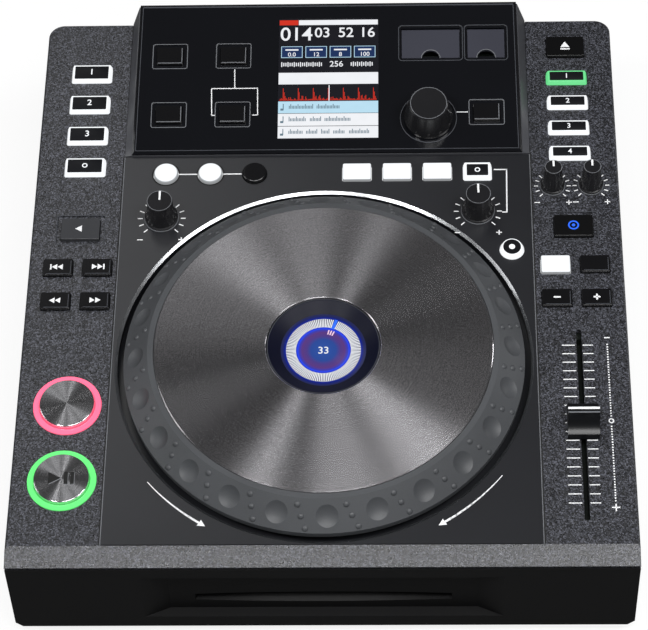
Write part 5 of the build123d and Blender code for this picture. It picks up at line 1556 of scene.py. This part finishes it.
LAMPS = (
    Lamp("rear_lamp", (-0.5, 0.9, 1.2), 0.5, 0.3),
    Lamp("right_lamp", (0.64, -0.27, 1.22), 0.5, 8.0),
    Lamp("left_lamp", (-0.47, -0.52, 1.20), 0.2, 5.0),
    Lamp("front_lamp", (0.15, -0.74, 1.48), 0.6, 11.0),
    Lamp("side_lamp", (1.1, 0.5, 0.12), 0.2, 0.8),
    Lamp("fill_lamp", (-1.1, 0.0, 0.7), 0.5, 2.5),
)
SHEEN_LAMP = Lamp("sheen_lamp", (-0.45, 0.75, 1.3), 0.7, 2.6)
SATIN_NODES = ("top_case", "centre_deck", "display_housing")


@dataclass
class Studio:
    """Pale floor, soft lamps and the camera."""

    nodes: dict[str, bpy.types.Object]
    focal_px: float = 2734.0
    image_px: float = 648.0
    pitch: float = math.radians(55.98)
    yaw: float = math.radians(-3.12)
    roll: float = math.radians(-2.96)
    distance: float = 1425.0      # from what it aims at, mm
    aim: Point = (-0.3, 136.8)    # on the deck, mm
    sensor_mm: float = 36.0
    floor_size: float = 3.0       # half its side, m
    room_light: float = 0.055     # light of the room on the player, against the white the camera sees

    def camera(self) -> None:
        """Stand the camera in front of the player and above it. Its angles count from the deck."""
        level = math.cos(self.pitch)
        forward = Vector((math.sin(self.yaw) * level, math.cos(self.yaw) * level, -math.sin(self.pitch)))
        right = Vector((math.cos(self.yaw), -math.sin(self.yaw), 0.0))
        up = right.cross(forward)
        cos, sin = math.cos(self.roll), math.sin(self.roll)
        rolled_right = cos * right + sin * up
        rolled_up = -sin * right + cos * up
        tilt = Matrix.Rotation(SIZES.slope, 3, "X")
        axes = Matrix((tilt @ rolled_right, tilt @ rolled_up, tilt @ -forward)).transposed()
        stand = DECK_FACE.point(*self.aim) - (tilt @ forward) * self.distance * MM
        data = bpy.data.cameras.new("camera")
        data.sensor_fit = "HORIZONTAL"
        data.sensor_width = self.sensor_mm
        data.lens = self.focal_px * self.sensor_mm / self.image_px
        data.clip_end = 20.0
        holder = add_object("camera", data)
        holder.matrix_world = Matrix.Translation(stand) @ axes.to_4x4()
        bpy.context.scene.camera = holder

    def floor(self) -> None:
        """Lay the pale floor."""
        shape = bmesh.new()
        bmesh.ops.create_grid(shape, x_segments=1, y_segments=1, size=self.floor_size)
        mesh = to_mesh(shape, "floor")
        mesh.materials.append(PaleFloor().build())
        floor = add_object("floor", mesh)

    def world(self) -> None:
        """Fill the room with an even pale light, and let the camera see it white."""
        world = bpy.data.worlds.new("studio")
        bpy.context.scene.world = world
        world.use_nodes = True
        tree = world.node_tree
        tree.nodes.clear()
        seen = add_node(tree, "LightPath", {}).outputs["Is Camera Ray"]
        level = add_node(tree, "MapRange", {"To Min": self.room_light, "To Max": 1.0, "Value": seen})
        light = add_node(tree, "Background", {"Color": WHITE, "Strength": level})
        add_node(tree, "OutputWorld", {"Surface": light})

    def build(self) -> None:
        """Set up the whole studio."""
        self.camera()
        self.floor()
        self.world()
        for lamp in LAMPS:
            lamp.hang()
        # The sheen lamp reaches only the satin faces, which would look flat without its soft band.
        satin = bpy.data.collections.new("satin_faces")
        for node in SATIN_NODES:
            satin.objects.link(self.nodes[node])
        SHEEN_LAMP.hang().light_linking.receiver_collection = satin
        bpy.context.scene.view_settings.view_transform = "Standard"


def main() -> None:
    """Load the frame, finish it piece by piece and set up the studio."""
    logging.basicConfig(level=logging.INFO, format="%(name)s: %(message)s")
    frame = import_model()
    Studio(frame["nodes"]).build()
    CarriedParts(frame).dress()
    for group in (DisplayBlock(), Keyboard(), DeckPrint(), Trims(), JogWheel()):
        LOG.info("building %s", type(group).__name__)
        group.build()
    bpy.context.view_layer.update()


if __name__ == "__main__":
    main()
